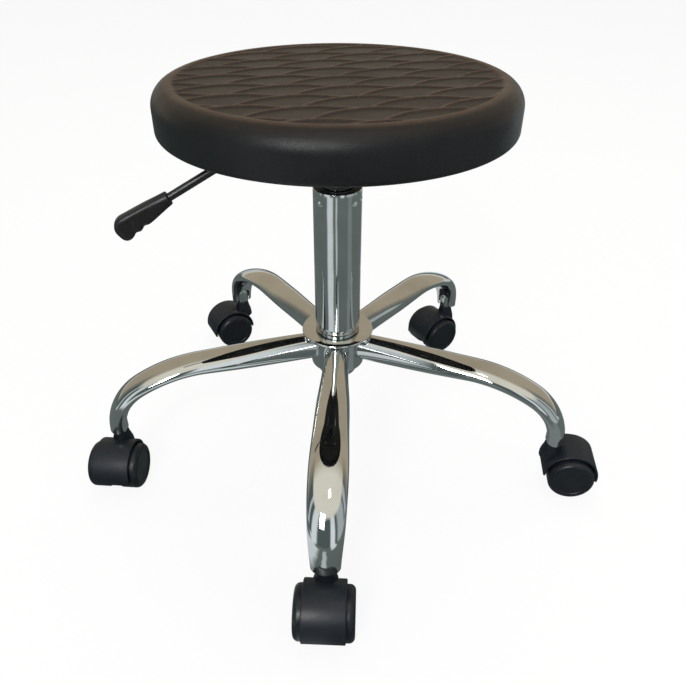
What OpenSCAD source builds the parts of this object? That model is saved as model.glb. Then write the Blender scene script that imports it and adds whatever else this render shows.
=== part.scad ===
// Round laboratory stool: moulded polyurethane seat on a gas lift, five welded
// chromed arms and five hooded twin-wheel casters.
// Millimetres, +Z up. The origin is on the floor, under the column's axis, and
// arm 1 points along -Y.

/* [Seat] */
// Diameter of the moulded seat
seat_d = 336; // [300:2:380]
// Thickness of the moulded seat
seat_t = 42; // [36:1:50]
// Radius of the seat's upper edge
seat_edge_r = 18; // [12:1:20]
// Radius of the seat's lower edge
seat_foot_r = 5; // [2:1:8]
// Diameter of the patterned field on top of the seat
field_d = 296; // [220:2:300]
// Depth of the sunk cells in the patterned field
cell_depth = 1.2; // [0.6:0.2:2]
// Width of the raised lines between the cells
line_w = 2.6; // [1.6:0.2:4]
// Length of one cell along its row
cell_l = 54; // [40:1:70]
// Distance from one row of cells to the next
cell_row = 34; // [26:1:44]
// Sideways step from one row of cells to the next
cell_step = 10; // [0:1:20]
// Turn of the pattern about the seat's axis, in degrees
field_turn = 0; // [-45:1:45]
// Distance from the seat's edge in to the plywood board
board_inset = 25; // [22:1:50]
// Thickness of the plywood board
board_t = 12; // [9:1:18]

/* [Seat plate and lever] */
// Side of the square steel plate under the board
plate_side = 150; // [140:5:180]
// Thickness of the steel plate
plate_t = 3; // [2:0.5:4]
// Distance between the screws along each side of the plate
screw_pitch = 120; // [110:5:128]
// Diameter of the plate's screws
screw_d = 6; // [5:0.5:8]
// Diameter of the lever rod
lever_d = 8; // [6:0.5:10]
// Direction of the lever about the column, in degrees from +X
lever_az = 197; // [0:1:359]
// Downward bend of the lever, in degrees
lever_bend = 27; // [15:1:40]
// Reach of the lever's level stretch from the column's axis
lever_level_l = 80; // [76:1:90]
// Length of the sloping stretch of the lever, up to the grip
lever_slope_l = 94; // [60:1:110]
// Length of the lever grip
grip_l = 61; // [52:1:90]
// Height of the grip at its root
grip_root_h = 13.5; // [12:0.5:20]
// Height of the grip at its broad end
grip_end_h = 24; // [20:0.5:30]
// Thickness of the grip from side to side
grip_w = 15; // [12:0.5:18]
// Distance of the lever's pivot from the column's axis
lever_pivot_r = 34; // [30:1:40]

/* [Gas lift] */
// Outer diameter of the column tube
column_d = 50; // [46:1:54]
// Wall of the column tube
column_wall = 2; // [1.5:0.25:3]
// Length of the straight part of the column tube
column_l = 161; // [150:1:260]
// Outer diameter of the column's taper at the hub's top
taper_top_d = 44.4; // [42:0.2:45]
// Outer diameter of the column's taper at its lower end
taper_base_d = 42; // [40:0.2:43]
// Height of the straight tube's foot over the hub plate
column_reveal = 5.5; // [3:0.5:10]
// Length of the column that stands out below the hub
column_tail = 12; // [9:1:20]
// Diameter of the inner pressure tube
lift_d = 28; // [26:0.5:30]
// Wall of the pressure tube
lift_wall = 2; // [1.5:0.25:2.5]
// Diameter of the piston rod
rod_d = 10; // [8:0.5:12]
// Height of the seat plate's socket over the column
socket_reveal = 3; // [2:0.5:10]
// Travel of the gas lift
lift_travel = 120; // [60:5:130]
// Diameter of the bearing balls
ball_d = 4; // [3:0.5:5]
// Number of bearing balls
ball_n = 8; // [6:1:10]

/* [Base] */
// Diameter of the hub sleeve
hub_d = 60; // [56:1:66]
// Length of the hub sleeve
hub_h = 42; // [38:1:50]
// Diameter of the dished hub plate
hub_plate_d = 80; // [76:1:90]
// Thickness of the hub plate
hub_plate_t = 3.2; // [2.5:0.1:4]
// Drop of the hub plate's rim
hub_plate_drop = 1.5; // [0.5:0.25:2]
// Radius of the circle that the caster stems stand on
stem_circle_r = 255; // [225:1:280]
// Wall of the arm tube
arm_wall = 1.6; // [1.2:0.1:2]
// Width of the arm at the hub
arm_root_w = 26; // [22:0.5:28]
// Width of the arm at its shoulder
arm_mid_w = 38; // [34:0.5:40]
// Width of the arm at its end
arm_tip_w = 28; // [26:0.5:32]
// Depth of the arm at the hub
arm_root_h = 31; // [27:0.5:32]
// Depth of the arm at its shoulder
arm_mid_h = 17.5; // [17:0.5:22]
// Depth of the arm at its end
arm_tip_h = 19.5; // [19:0.5:22]
// Radius of the arm's long bend
bend_long_r = 150; // [120:5:180]
// Angle of the arm's long bend, in degrees
bend_long_a = 28; // [22:1:32]
// Radius of the arm's tight bend
bend_tight_r = 58; // [52:1:75]
// Angle of the arm's tight bend, in degrees
bend_tight_a = 58; // [50:1:60]

/* [Casters] */
// Diameter of the wheels
wheel_d = 50; // [46:1:54]
// Width over both wheels of a caster
wheel_span = 56; // [50:1:60]
// Height of the arm's socket over the floor
socket_z = 62; // [60:0.5:66]
// Distance of the axle behind the stem
caster_trail = 22; // [18:0.5:24]
// Width of the hood
hood_w = 40; // [36:1:44]
// Wall of the hood
hood_wall = 2.7; // [2:0.1:3]
// Diameter of the caster stem
stem_d = 11; // [10:0.5:11.5]
// Length of the stem in its socket
stem_l = 20; // [16:0.5:21]
// Outer diameter of the stem socket
socket_d = 18; // [16:0.5:18.5]
// Diameter of the axle
axle_d = 6; // [5:0.5:8]
// Trail direction of caster 1, in degrees from +X
trail_az_1 = 270; // [0:1:359]
// Trail direction of caster 2, in degrees from +X
trail_az_2 = 355; // [0:1:359]
// Trail direction of caster 3, in degrees from +X
trail_az_3 = 215; // [0:1:359]
// Trail direction of caster 4, in degrees from +X
trail_az_4 = 210; // [0:1:359]
// Trail direction of caster 5, in degrees from +X
trail_az_5 = 268; // [0:1:359]

/* [Hidden] */
$fn = 96;
ARM_N = 5;

// Clearances
run_gap = 0.05;
body_gap = 0.3;
press_gap = 0.02;
over = 1;

// Colours
CHROME = [0.78, 0.79, 0.80];
STEEL = [0.62, 0.63, 0.65];
BLACK_STEEL = [0.07, 0.07, 0.08];
NYLON = [0.09, 0.09, 0.10];
FOAM = [0.12, 0.10, 0.09];
PLY = [0.72, 0.57, 0.38];
RUBBER = [0.06, 0.06, 0.06];
BRASS = [0.80, 0.65, 0.32];

function pick(list, k) = list[k - 1];
function arm_az(k) = -90 + (k - 1) * 360 / ARM_N;
function trail_az(k) = pick([trail_az_1, trail_az_2, trail_az_3, trail_az_4, trail_az_5], k);

// Arc of a profile, from angle a to angle b round the point c
function arc(c, r, a, b, n = 12) =
    [for (i = [0:n]) c + r * [cos(a + (b - a) * i / n), sin(a + (b - a) * i / n)]];

// Arm centre line in the (radius, height) plane
bend_all_a = bend_long_a + bend_tight_a;
socket_weld_gap = 0.4;
arm_tip_r = stem_circle_r + socket_d / 2 + arm_wall - arm_tip_h / 2 + socket_weld_gap;
arm_tail_l = 5.8;
long_run = bend_long_r * sin(bend_long_a);
long_drop = bend_long_r * (1 - cos(bend_long_a));
tight_run = bend_tight_r * (sin(bend_all_a) - sin(bend_long_a));
tight_drop = bend_tight_r * (cos(bend_long_a) - cos(bend_all_a));
tail_run = arm_tail_l * cos(bend_all_a);
tail_drop = arm_tail_l * sin(bend_all_a);
arm_axis_z = socket_z + long_drop + tight_drop + tail_drop;
arm_cope = 6;
arm_root_r = hub_d / 2 - arm_cope;
arm_bend_r = arm_tip_r - long_run - tight_run - tail_run;
arm_level_l = arm_bend_r - arm_root_r;
long_l = bend_long_r * bend_long_a * PI / 180;
tight_l = bend_tight_r * bend_tight_a * PI / 180;
arm_l = arm_level_l + long_l + tight_l + arm_tail_l;
// Sides and rings of the arm's swept tube
arm_sides = 20;
arm_level_rings = 7;
arm_long_rings = 5;
arm_tight_rings = 9;
// Shares of the change from root to middle, then from middle to tip, that the arm's width
// and its depth have made at equal steps along it
mid_w_share = [0, 0.25, 0.67, 0.83, 1];
tip_w_share = [0.28, 1];
mid_h_share = [0, 0.07, 0.36, 0.79, 1];
tip_h_share = [0.45, 1];
function arm_sizes(root, mid, tip, mid_share, tip_share) = concat(
    [for (f = mid_share) root + (mid - root) * f],
    [for (f = tip_share) mid + (tip - mid) * f]);
arm_widths = arm_sizes(arm_root_w, arm_mid_w, arm_tip_w, mid_w_share, tip_w_share);
arm_depths = arm_sizes(arm_root_h, arm_mid_h, arm_tip_h, mid_h_share, tip_h_share);

// A centre line point [radius, height, heading below level] at distance s
function arm_at(s) =
    s <= arm_level_l
    ? [arm_root_r + s, arm_axis_z, 0]
    : s <= arm_level_l + long_l
    ? let (a = (s - arm_level_l) / long_l * bend_long_a)
      [arm_bend_r + bend_long_r * sin(a), arm_axis_z - bend_long_r * (1 - cos(a)), a]
    : s <= arm_level_l + long_l + tight_l
    ? let (a = bend_long_a + (s - arm_level_l - long_l) / tight_l * bend_tight_a)
      [arm_bend_r + long_run + bend_tight_r * (sin(a) - sin(bend_long_a)),
       arm_axis_z - long_drop - bend_tight_r * (cos(bend_long_a) - cos(a)), a]
    : let (d = s - arm_level_l - long_l - tight_l)
      [arm_tip_r - tail_run + d * cos(bend_all_a),
       socket_z + tail_drop - d * sin(bend_all_a), bend_all_a];
arm_trim = 6;
// Distances of the rings along the arm
arm_rings = concat(
    [for (i = [0:arm_level_rings - 1]) arm_level_l * i / arm_level_rings],
    [for (i = [0:arm_long_rings - 1]) arm_level_l + long_l * i / arm_long_rings],
    [for (i = [0:arm_tight_rings]) arm_level_l + long_l + tight_l * i / arm_tight_rings],
    [arm_l + arm_trim]);
// A value on the smooth curve through equally spaced sizes, at the share u of the way
function smooth_at(sizes, u) =
    let (n = len(sizes) - 1, i = min(floor(u * n), n - 1), f = u * n - i,
         a = sizes[max(i - 1, 0)], b = sizes[i], c = sizes[i + 1], d = sizes[min(i + 2, n)])
    b + f / 2 * (c - a + f * (2 * a - 5 * b + 4 * c - d + f * (3 * (b - c) + d - a)));
function arm_share(s) = max(min(s / arm_l, 1), 0);
function arm_w_at(s) = smooth_at(arm_widths, arm_share(s));
function arm_h_at(s) = smooth_at(arm_depths, arm_share(s));

// Heights
axle_z = wheel_d / 2;
arm_root_top_z = arm_axis_z + arm_root_h / 2;
arm_plate_gap = 0.5;
hub_top_z = arm_root_top_z + hub_plate_drop + arm_plate_gap;
hub_base_z = hub_top_z - hub_h;
hub_plate_top_z = hub_top_z + hub_plate_t;
column_base_z = hub_base_z - column_tail;
column_foot_z = hub_plate_top_z + column_reveal;
column_top_z = column_foot_z + column_l;
socket_base_z = column_top_z + socket_reveal;

// Column
column_r = column_d / 2;
column_bore_r = column_r - column_wall;
taper_l = column_foot_z - column_base_z;
function taper_r(z) =
    taper_base_d / 2 + (taper_top_d - taper_base_d) / 2 * (z - column_base_z) / taper_l;
foot_round = 1;
foot_gap_h = 1.4;
foot_gap_depth = 1;
lip_round = 0.8;
floor_recess = 3;
floor_t = 3;
floor_top_z = column_base_z + floor_recess + floor_t;
dimple_r = 4;
dimple_depth = 1.3;
dimple_drop = 10.5;
dimple_pair_a = 32;
dimple_turn = 212;
dimple_groups = 3;

// Piston rod and its thrust bearing
rod_r = rod_d / 2;
rod_shoulder = 1;
rod_end_r = rod_r - rod_shoulder;
race_t = 2;
race_r = 15;
race_bore_r = rod_end_r + run_gap;
ball_track_r = 10.5;
lower_race_z = floor_top_z;
ball_z = lower_race_z + race_t + run_gap + ball_d / 2;
upper_race_z = ball_z + ball_d / 2 + run_gap;
rod_shoulder_z = upper_race_z + race_t;
cage_share = 0.4;
cage_t = ball_d * cage_share;
cage_wall = 1.25;
cage_w = ball_d + 2 * cage_wall;
clip_t = 1.2;
clip_r = 7;
clip_groove_depth = 0.6;
clip_slot = 4;
clip_z = column_base_z + floor_recess - body_gap - clip_t;
clip_end_l = 1.4;
rod_base_z = clip_z - clip_end_l;
buffer_h = 15;
buffer_r = 12.5;
buffer_waist = 1.5;
buffer_top_z = rod_shoulder_z + buffer_h;

// Pressure tube
lift_r = lift_d / 2;
lift_bore_r = lift_r - lift_wall;
lift_base_z = buffer_top_z + body_gap;
lift_taper_l = 36;
lift_taper_drop = 0.7;
lift_taper_z = socket_base_z + body_gap;
lift_top_z = lift_taper_z + lift_taper_l;
lift_top_r = lift_r - lift_taper_drop;
gland_l = 14;
gland_inset = 1.5;
valve_l = 15;
valve_inset = 0.5;
piston_l = 12;
piston_spare = 6;
piston_base_z = lift_base_z + gland_inset + gland_l + lift_travel + piston_spare;
piston_top_z = piston_base_z + piston_l;
rod_nut_l = 3;
bush_spare = 14;
bush_l = column_top_z - (lift_base_z + lift_travel) - bush_spare;
bush_inset = 0.8;
bush_top_z = column_top_z - bush_inset;
bush_base_z = column_top_z - bush_l;
bush_land_l = 12;
bush_relief = 1.2;
bush_chamfer = 1.6;

// Release pin, taper socket and seat plate
pin_d = 6;
pin_r = pin_d / 2;
pin_stand = 4.4;
pin_tail = 6;
pin_top_z = lift_top_z + pin_stand;
lever_r = lever_d / 2;
lever_z = pin_top_z + body_gap + lever_r;
lever_headroom = 7.3;
plate_base_z = lever_z + lever_r + lever_headroom;
plate_top_z = plate_base_z + plate_t;
socket_wall = 5;
socket_r = lift_r + socket_wall;
chamber_wall = 3;
chamber_r = socket_r - chamber_wall;
lever_side_gap = 0.8;
lever_slot_w = lever_d + 2 * lever_side_gap;
lever_slot_rise = 0.6;
lever_slot_z = lift_top_z + lever_slot_rise;
taper_seat_gap = 0.4;
slot_bridge = 1.2;
plate_corner_r = 16;
screw_r = screw_d / 2;
screw_clear = 0.4;
screw_head_share = 0.85;
screw_head_r = screw_d * screw_head_share;
screw_head_h_share = 0.6;
screw_head_h = screw_d * screw_head_h_share;
screw_tip_gap = 2;
screw_grip = board_t - screw_tip_gap;
washer_t = 1.2;
washer_margin = 1.8;
washer_r = screw_head_r + washer_margin;
key_share = 0.6;
key_r = screw_r * key_share;
key_depth = screw_head_h * key_share;
ear_t = 2.5;
ear_w = 14;
ear_drop = 5;
ear_base_z = lever_z - ear_drop;
pivot_r = 2.2;
pivot_head_r = 3.4;
pivot_head_t = 1.2;
ear_inner = lever_r + lever_side_gap;
ear_outer = ear_inner + ear_t;

// Lever
lever_inner_l = 1.5;
lever_in_grip = 34;
lever_knee_swell = 0.2;
grip_belly_share = 0.75;
grip_edge_share = 0.33;
grip_nose_share = 0.54;
grip_toe_share = 0.29;
grip_toe_back_share = 0.06;
grip_root_r = grip_root_h / 2;
grip_edge_r = grip_w * grip_edge_share;
grip_nose_r = grip_end_h * grip_nose_share;
grip_toe_r = grip_end_h * grip_toe_share;
grip_toe_x = grip_l - grip_toe_r - grip_end_h * grip_toe_back_share;
grip_low = -grip_root_r - (grip_end_h - grip_root_h) * grip_belly_share;
grip_high = grip_low + grip_end_h;
notch_n = 2;
notch_r = 6;
notch_depth = 1.6;
notch_pitch = 10.5;
notch_first_share = 0.56;

// Seat
seat_base_z = plate_top_z;
seat_top_z = seat_base_z + seat_t;
seat_r = seat_d / 2;
board_r = seat_r - board_inset;
board_top_z = seat_base_z + board_t;
// Shape of one cell, as shares of the cell's length and the row's height
cell_wave_share = 0.06;
cell_rise_share = 0.78;
cell_tip_share = 0.62;
rise_l = cell_l * cell_rise_share;
rise_stop_shares = [0.1, 0.25, 0.4, 0.6, 0.8, 1];
rise_stops = [for (u = rise_stop_shares) u * rise_l];
row_stop_shares = [0.1, 0.3, 0.5, 0.7, 0.9];
row_stops = [for (u = row_stop_shares) u * cell_l];

// Casters
wheel_r = wheel_d / 2;
hood_bay_gap = 1.8;
hood_bay_r = wheel_r + hood_bay_gap;
hood_r = hood_bay_r + hood_wall;
web_wall = 1;
web_half = stem_d / 2 + web_wall;
wheel_side_gap = 0.4;
wheel_in = web_half + wheel_side_gap;
wheel_out = wheel_span / 2;
wheel_round = 5;
wheel_face_inset = 0.8;
wheel_face_rim = 5.5;
wheel_rim_t = 4;
wheel_hub_wall = 3.5;
wheel_hub_r = axle_d / 2 + wheel_hub_wall;
wheel_web_t = 5;
axle_cover = 3;
axle_half = wheel_out - axle_cover;
neck_wall = 2.2;
neck_flare = 2.8;
neck_floor_t = 2.5;
neck_top_r = stem_d / 2 + neck_wall;
neck_base_r = neck_top_r + neck_flare;
collar_t = 1.5;
collar_w = 2;
collar_r = stem_d / 2 + collar_w;
collar_z = socket_z - collar_t;
neck_top_z = collar_z - body_gap;
stem_rise = 17;
stem_base_z = axle_z + stem_rise;
neck_base_z = stem_base_z - neck_floor_t;
stem_top_z = socket_z + stem_l;
stem_chamfer = 0.8;
skirt_front_drop = 1;
skirt_back_drop = 4;
skirt_front_z = axle_z - skirt_front_drop;
skirt_back_z = axle_z - skirt_back_drop;
groove_share = 0.5;
groove_z = socket_z + stem_l * groove_share;
groove_w = 2.2;
groove_depth = 0.6;
ring_side_gap = 0.1;
ring_slot = 1.6;
socket_bore_gap = 0.2;
socket_bore_r = stem_d / 2 + socket_bore_gap;
socket_r_out = socket_d / 2;
socket_bore_spare = 0.4;
socket_cap_t = 2;
socket_top_z = stem_top_z + socket_bore_spare + socket_cap_t;
socket_dome_z = socket_top_z - socket_r_out;
window_half = 8;
window_inset = 2;
window_r = stem_circle_r - window_inset;
window_top_z = socket_top_z - window_inset;

// A swept tube's ring of points, outer or inner, in the (radius, side, height) frame
function ring_points(s, inset) =
    let (c = arm_at(s), a = arm_w_at(s) / 2 - inset, b = arm_h_at(s) / 2 - inset)
    [for (i = [0:arm_sides - 1])
        let (t = 360 * i / arm_sides, up = b * sin(t))
        [c[0] + up * sin(c[2]), a * cos(t), c[1] + up * cos(c[2])]];

// A closed skin round rings of points, with flat ends
module skin(rings) {
    n = len(rings[0]);
    m = len(rings);
    points = [for (r = rings) each r];
    sides = [for (j = [0:m - 2], i = [0:n - 1])
        let (p = j * n + i, q = j * n + (i + 1) % n)
        each [[p, p + n, q], [q, p + n, q + n]]];
    first = [[for (i = [0:n - 1]) i]];
    last = [[for (i = [0:n - 1]) m * n - 1 - i]];
    polyhedron(points, concat(sides, first, last));
}

module at_arm(k) {
    rotate([0, 0, arm_az(k)]) children();
}

// Children at the stem of caster k, with +X along its trail
module at_caster(k) {
    at_arm(k)
    translate([stem_circle_r, 0, 0])
    rotate([0, 0, trail_az(k) - arm_az(k)])
    children();
}

module ring(z0, z1, outer_r, inner_r) {
    translate([0, 0, z0])
    difference() {
        cylinder(h = z1 - z0, r = outer_r);
        translate([0, 0, -over]) cylinder(h = z1 - z0 + 2 * over, r = inner_r);
    }
}

module hub_sleeve() {
    chamfer = 1.5;
    color(CHROME)
    rotate_extrude()
    polygon([
        [taper_r(hub_base_z) + press_gap, hub_base_z],
        [hub_d / 2 - chamfer, hub_base_z],
        [hub_d / 2, hub_base_z + chamfer],
        [hub_d / 2, hub_top_z],
        [taper_r(hub_top_z) + press_gap, hub_top_z]]);
}

module hub_plate() {
    rim_r = hub_plate_d / 2;
    edge = hub_plate_t / 2;
    flat_r = hub_d / 2;
    color(CHROME)
    rotate_extrude()
    polygon(concat(
        [[taper_r(hub_top_z) + press_gap, hub_top_z],
         [flat_r, hub_top_z]],
        arc([rim_r - edge, hub_top_z - hub_plate_drop + edge], edge, -90, 80),
        [[flat_r, hub_plate_top_z],
         [taper_r(hub_plate_top_z) + press_gap, hub_plate_top_z]]));
}

module arm(k) {
    outer = [for (s = arm_rings) ring_points(s, 0)];
    inner = [for (s = concat([-over], arm_rings, [arm_l + arm_trim + over]))
        ring_points(s, arm_wall)];
    color(CHROME)
    at_arm(k)
    difference() {
        skin(outer);
        skin(inner);
        translate([0, 0, arm_axis_z - arm_root_h]) cylinder(h = 2 * arm_root_h, r = hub_d / 2);
        translate([0, -arm_mid_w, socket_z - 3 * arm_trim])
            cube([stem_circle_r + arm_mid_w, 2 * arm_mid_w, 3 * arm_trim]);
        translate([window_r - arm_mid_h, -window_half, socket_z - over])
            cube([arm_mid_h, 2 * window_half, window_top_z - window_half - socket_z + over]);
        translate([window_r - arm_mid_h, 0, window_top_z - window_half])
            rotate([0, 90, 0]) cylinder(h = arm_mid_h, r = window_half);
        translate([stem_circle_r, 0, 0])
        rotate_extrude()
        polygon(concat(
            [[0, socket_z - over], [socket_r_out + press_gap, socket_z - over]],
            arc([0, socket_dome_z], socket_r_out + press_gap, 0, 90)));
    }
}

module stem_socket(k) {
    bore_top_z = stem_top_z + socket_bore_spare;
    color(CHROME)
    at_arm(k)
    translate([stem_circle_r, 0, 0])
    rotate_extrude()
    polygon(concat(
        [[socket_bore_r, socket_z], [socket_r_out, socket_z]],
        arc([0, socket_dome_z], socket_r_out, 0, 90),
        [[0, bore_top_z], [socket_bore_r, bore_top_z]]));
}

module caster_stem(k) {
    r = stem_d / 2;
    color(STEEL)
    at_arm(k)
    translate([stem_circle_r, 0, 0])
    rotate_extrude()
    polygon([
        [0, stem_base_z], [r - stem_chamfer, stem_base_z], [r, stem_base_z + stem_chamfer],
        [r, collar_z], [collar_r, collar_z], [collar_r, socket_z], [r, socket_z],
        [r, groove_z], [r - groove_depth, groove_z],
        [r - groove_depth, groove_z + groove_w], [r, groove_z + groove_w],
        [r, stem_top_z - stem_chamfer], [r - stem_chamfer, stem_top_z], [0, stem_top_z]]);
}

// Split spring rings that hold the stems in their sockets
module grip_rings() {
    color(STEEL)
    for (k = [1:ARM_N])
        at_arm(k)
        translate([stem_circle_r, 0, 0])
        difference() {
            ring(groove_z + ring_side_gap, groove_z + groove_w - ring_side_gap,
                 socket_bore_r, stem_d / 2 - groove_depth);
            translate([0, -ring_slot / 2, groove_z - over])
                cube([stem_d, ring_slot, groove_w + 2 * over]);
        }
}

// A cylinder along the axle of a caster, from side y0 to side y1
module axle_disc(r, y0, y1) {
    translate([caster_trail, y1, axle_z]) rotate([90, 0, 0]) cylinder(h = y1 - y0, r = r);
}

module hood_skirt_cut() {
    far = 3 * hood_r;
    translate([0, far / 2, 0])
    rotate([90, 0, 0])
    linear_extrude(far)
    polygon([
        [caster_trail - hood_r - over, -hood_r],
        [caster_trail - hood_r - over, skirt_front_z],
        [caster_trail + hood_r + over, skirt_back_z],
        [caster_trail + hood_r + over, -hood_r]]);
}

module caster_hood(k) {
    color(NYLON)
    at_caster(k)
    difference() {
        union() {
            difference() {
                union() {
                    axle_disc(hood_r, -hood_w / 2, hood_w / 2);
                    translate([0, 0, neck_base_z])
                        cylinder(h = neck_top_z - neck_base_z, r1 = neck_base_r, r2 = neck_top_r);
                }
                axle_disc(hood_bay_r, -hood_w, hood_w);
            }
            axle_disc(hood_bay_r + over, -web_half, web_half);
        }
        hood_skirt_cut();
        translate([0, 0, stem_base_z - body_gap])
            cylinder(h = neck_top_z - stem_base_z + over + body_gap, r = stem_d / 2 + run_gap);
        axle_disc(axle_d / 2 + press_gap, -hood_w, hood_w);
    }
}

module caster_axle(k) {
    chamfer = 0.6;
    r = axle_d / 2;
    color(STEEL)
    at_caster(k)
    translate([caster_trail, 0, axle_z])
    rotate([90, 0, 0])
    rotate_extrude()
    polygon([
        [0, -axle_half], [r - chamfer, -axle_half], [r, -axle_half + chamfer],
        [r, axle_half - chamfer], [r - chamfer, axle_half], [0, axle_half]]);
}

// One wheel about +Z, from its inner face at wheel_in to its outer face
module wheel_body() {
    bore_r = axle_d / 2 + run_gap;
    bore_end = axle_half + body_gap;
    pan_end = wheel_out - wheel_web_t;
    face_r = wheel_r - wheel_face_rim;
    rotate_extrude()
    polygon(concat(
        [[bore_r, wheel_in], [wheel_hub_r, wheel_in],
         [wheel_hub_r, pan_end], [wheel_r - wheel_rim_t, pan_end],
         [wheel_r - wheel_rim_t, wheel_in], [wheel_r, wheel_in]],
        arc([wheel_r - wheel_round, wheel_out - wheel_round], wheel_round, 0, 90, 6),
        [[face_r, wheel_out], [face_r - wheel_face_inset, wheel_out - wheel_face_inset],
         [0, wheel_out - wheel_face_inset], [0, bore_end], [bore_r, bore_end]]));
}

// Left and right are as seen from the trailing side, looking at the stem
module wheel_left(k) {
    color(NYLON)
    at_caster(k)
    translate([caster_trail, 0, axle_z])
    rotate([90, 0, 0])
    wheel_body();
}

module wheel_right(k) {
    color(NYLON)
    at_caster(k)
    translate([caster_trail, 0, axle_z])
    rotate([-90, 0, 0])
    wheel_body();
}

module column_tube() {
    inner_base_r = taper_r(column_base_z) - column_wall;
    inner_foot_r = taper_r(column_foot_z) - column_wall;
    neck_z = column_foot_z - foot_gap_h;
    color(CHROME)
    difference() {
        rotate_extrude()
        polygon(concat(
            [[taper_r(column_base_z) - column_wall, column_base_z],
             [taper_r(column_base_z), column_base_z],
             [taper_r(neck_z), neck_z],
             [taper_r(neck_z) - foot_gap_depth, neck_z],
             [taper_r(neck_z) - foot_gap_depth, column_foot_z]],
            arc([column_r - foot_round, column_foot_z + foot_round], foot_round, -90, 0, 6),
            arc([column_r - lip_round, column_top_z - lip_round], lip_round, 0, 90, 6),
            [[column_bore_r, column_top_z],
             [column_bore_r, column_foot_z + column_wall],
             [inner_foot_r, column_foot_z],
             [inner_base_r, floor_top_z],
             [rod_end_r + body_gap, floor_top_z],
             [rod_end_r + body_gap, floor_top_z - floor_t],
             [inner_base_r, floor_top_z - floor_t]]));
        for (g = [0:dimple_groups - 1], s = [-1, 1])
            rotate([0, 0, dimple_turn + g * 360 / dimple_groups + s * dimple_pair_a / 2])
            translate([column_r + dimple_r - dimple_depth, 0, column_top_z - dimple_drop])
            sphere(r = dimple_r);
    }
}

module guide_bush() {
    bore_r = lift_r + run_gap;
    color(NYLON)
    rotate_extrude()
    polygon([
        [bore_r, bush_base_z],
        [column_bore_r - press_gap - bush_chamfer, bush_base_z],
        [column_bore_r - press_gap, bush_base_z + bush_chamfer],
        [column_bore_r - press_gap, bush_top_z],
        [bore_r + bush_chamfer, bush_top_z],
        [bore_r, bush_top_z - bush_chamfer],
        [bore_r, bush_top_z - bush_chamfer - bush_land_l],
        [bore_r + bush_relief, bush_top_z - 2 * bush_chamfer - bush_land_l],
        [bore_r + bush_relief, bush_base_z + bush_land_l + bush_chamfer],
        [bore_r, bush_base_z + bush_land_l]]);
}

module lower_race() {
    color(STEEL) ring(lower_race_z, lower_race_z + race_t, race_r, race_bore_r);
}

module upper_race() {
    color(STEEL) ring(upper_race_z, upper_race_z + race_t, race_r, race_bore_r);
}

module ball_places() {
    for (i = [0:ball_n - 1])
        rotate([0, 0, 360 * i / ball_n]) translate([ball_track_r, 0, ball_z]) children();
}

module ball_cage() {
    color(BRASS)
    difference() {
        ring(ball_z - cage_t / 2, ball_z + cage_t / 2,
             ball_track_r + cage_w / 2, ball_track_r - cage_w / 2);
        ball_places() cylinder(h = 2 * ball_d, r = ball_d / 2 + run_gap, center = true);
    }
}

module bearing_balls() {
    color(STEEL) ball_places() sphere(r = ball_d / 2);
}

module rubber_buffer() {
    mid_z = (rod_shoulder_z + buffer_top_z) / 2;
    color(RUBBER)
    rotate_extrude()
    polygon([
        [rod_r + press_gap, rod_shoulder_z], [buffer_r, rod_shoulder_z],
        [buffer_r, mid_z - buffer_waist], [buffer_r - buffer_waist, mid_z],
        [buffer_r, mid_z + buffer_waist], [buffer_r, buffer_top_z],
        [rod_r + press_gap, buffer_top_z]]);
}

module piston_rod() {
    groove_r = rod_end_r - clip_groove_depth;
    color(STEEL)
    rotate_extrude()
    polygon([
        [0, rod_base_z], [rod_end_r, rod_base_z],
        [rod_end_r, clip_z], [groove_r, clip_z],
        [groove_r, clip_z + clip_t], [rod_end_r, clip_z + clip_t],
        [rod_end_r, rod_shoulder_z], [rod_r, rod_shoulder_z],
        [rod_r, piston_base_z], [rod_end_r, piston_base_z],
        [rod_end_r, piston_top_z + rod_nut_l], [0, piston_top_z + rod_nut_l]]);
}

module piston() {
    groove = 1.2;
    outer_r = lift_bore_r - run_gap;
    bore_r = rod_end_r + press_gap;
    mid_z = (piston_base_z + piston_top_z) / 2;
    color(BRASS)
    rotate_extrude()
    polygon([
        [bore_r, piston_base_z], [outer_r, piston_base_z],
        [outer_r, mid_z - groove], [outer_r - groove, mid_z - groove],
        [outer_r - groove, mid_z + groove], [outer_r, mid_z + groove],
        [outer_r, piston_top_z], [bore_r, piston_top_z]]);
}

module retaining_clip() {
    color(STEEL)
    difference() {
        ring(clip_z, clip_z + clip_t, clip_r, rod_end_r - clip_groove_depth);
        translate([0, -clip_slot / 2, clip_z - over])
            cube([clip_r + over, clip_slot, clip_t + 2 * over]);
    }
}

module pressure_tube() {
    roll = 0.8;
    color(CHROME)
    rotate_extrude()
    polygon([
        [lift_bore_r, lift_base_z], [lift_r - roll, lift_base_z],
        [lift_r, lift_base_z + roll], [lift_r, lift_taper_z],
        [lift_top_r, lift_top_z], [lift_bore_r - roll, lift_top_z],
        [lift_bore_r - roll, lift_top_z - valve_inset],
        [lift_bore_r, lift_top_z - valve_inset]]);
}

module rod_gland() {
    z0 = lift_base_z + gland_inset;
    color(NYLON) ring(z0, z0 + gland_l, lift_bore_r - press_gap, rod_r + run_gap);
}

module valve_body() {
    z1 = lift_top_z - valve_inset;
    color(BRASS) ring(z1 - valve_l, z1, lift_bore_r - press_gap, pin_r + run_gap);
}

module release_pin() {
    chamfer = 0.6;
    pin_base_z = lift_top_z - valve_inset - valve_l - pin_tail;
    color(STEEL)
    rotate_extrude()
    polygon([
        [0, pin_base_z], [pin_r, pin_base_z], [pin_r, pin_top_z - chamfer],
        [pin_r - chamfer, pin_top_z], [0, pin_top_z]]);
}

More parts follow.
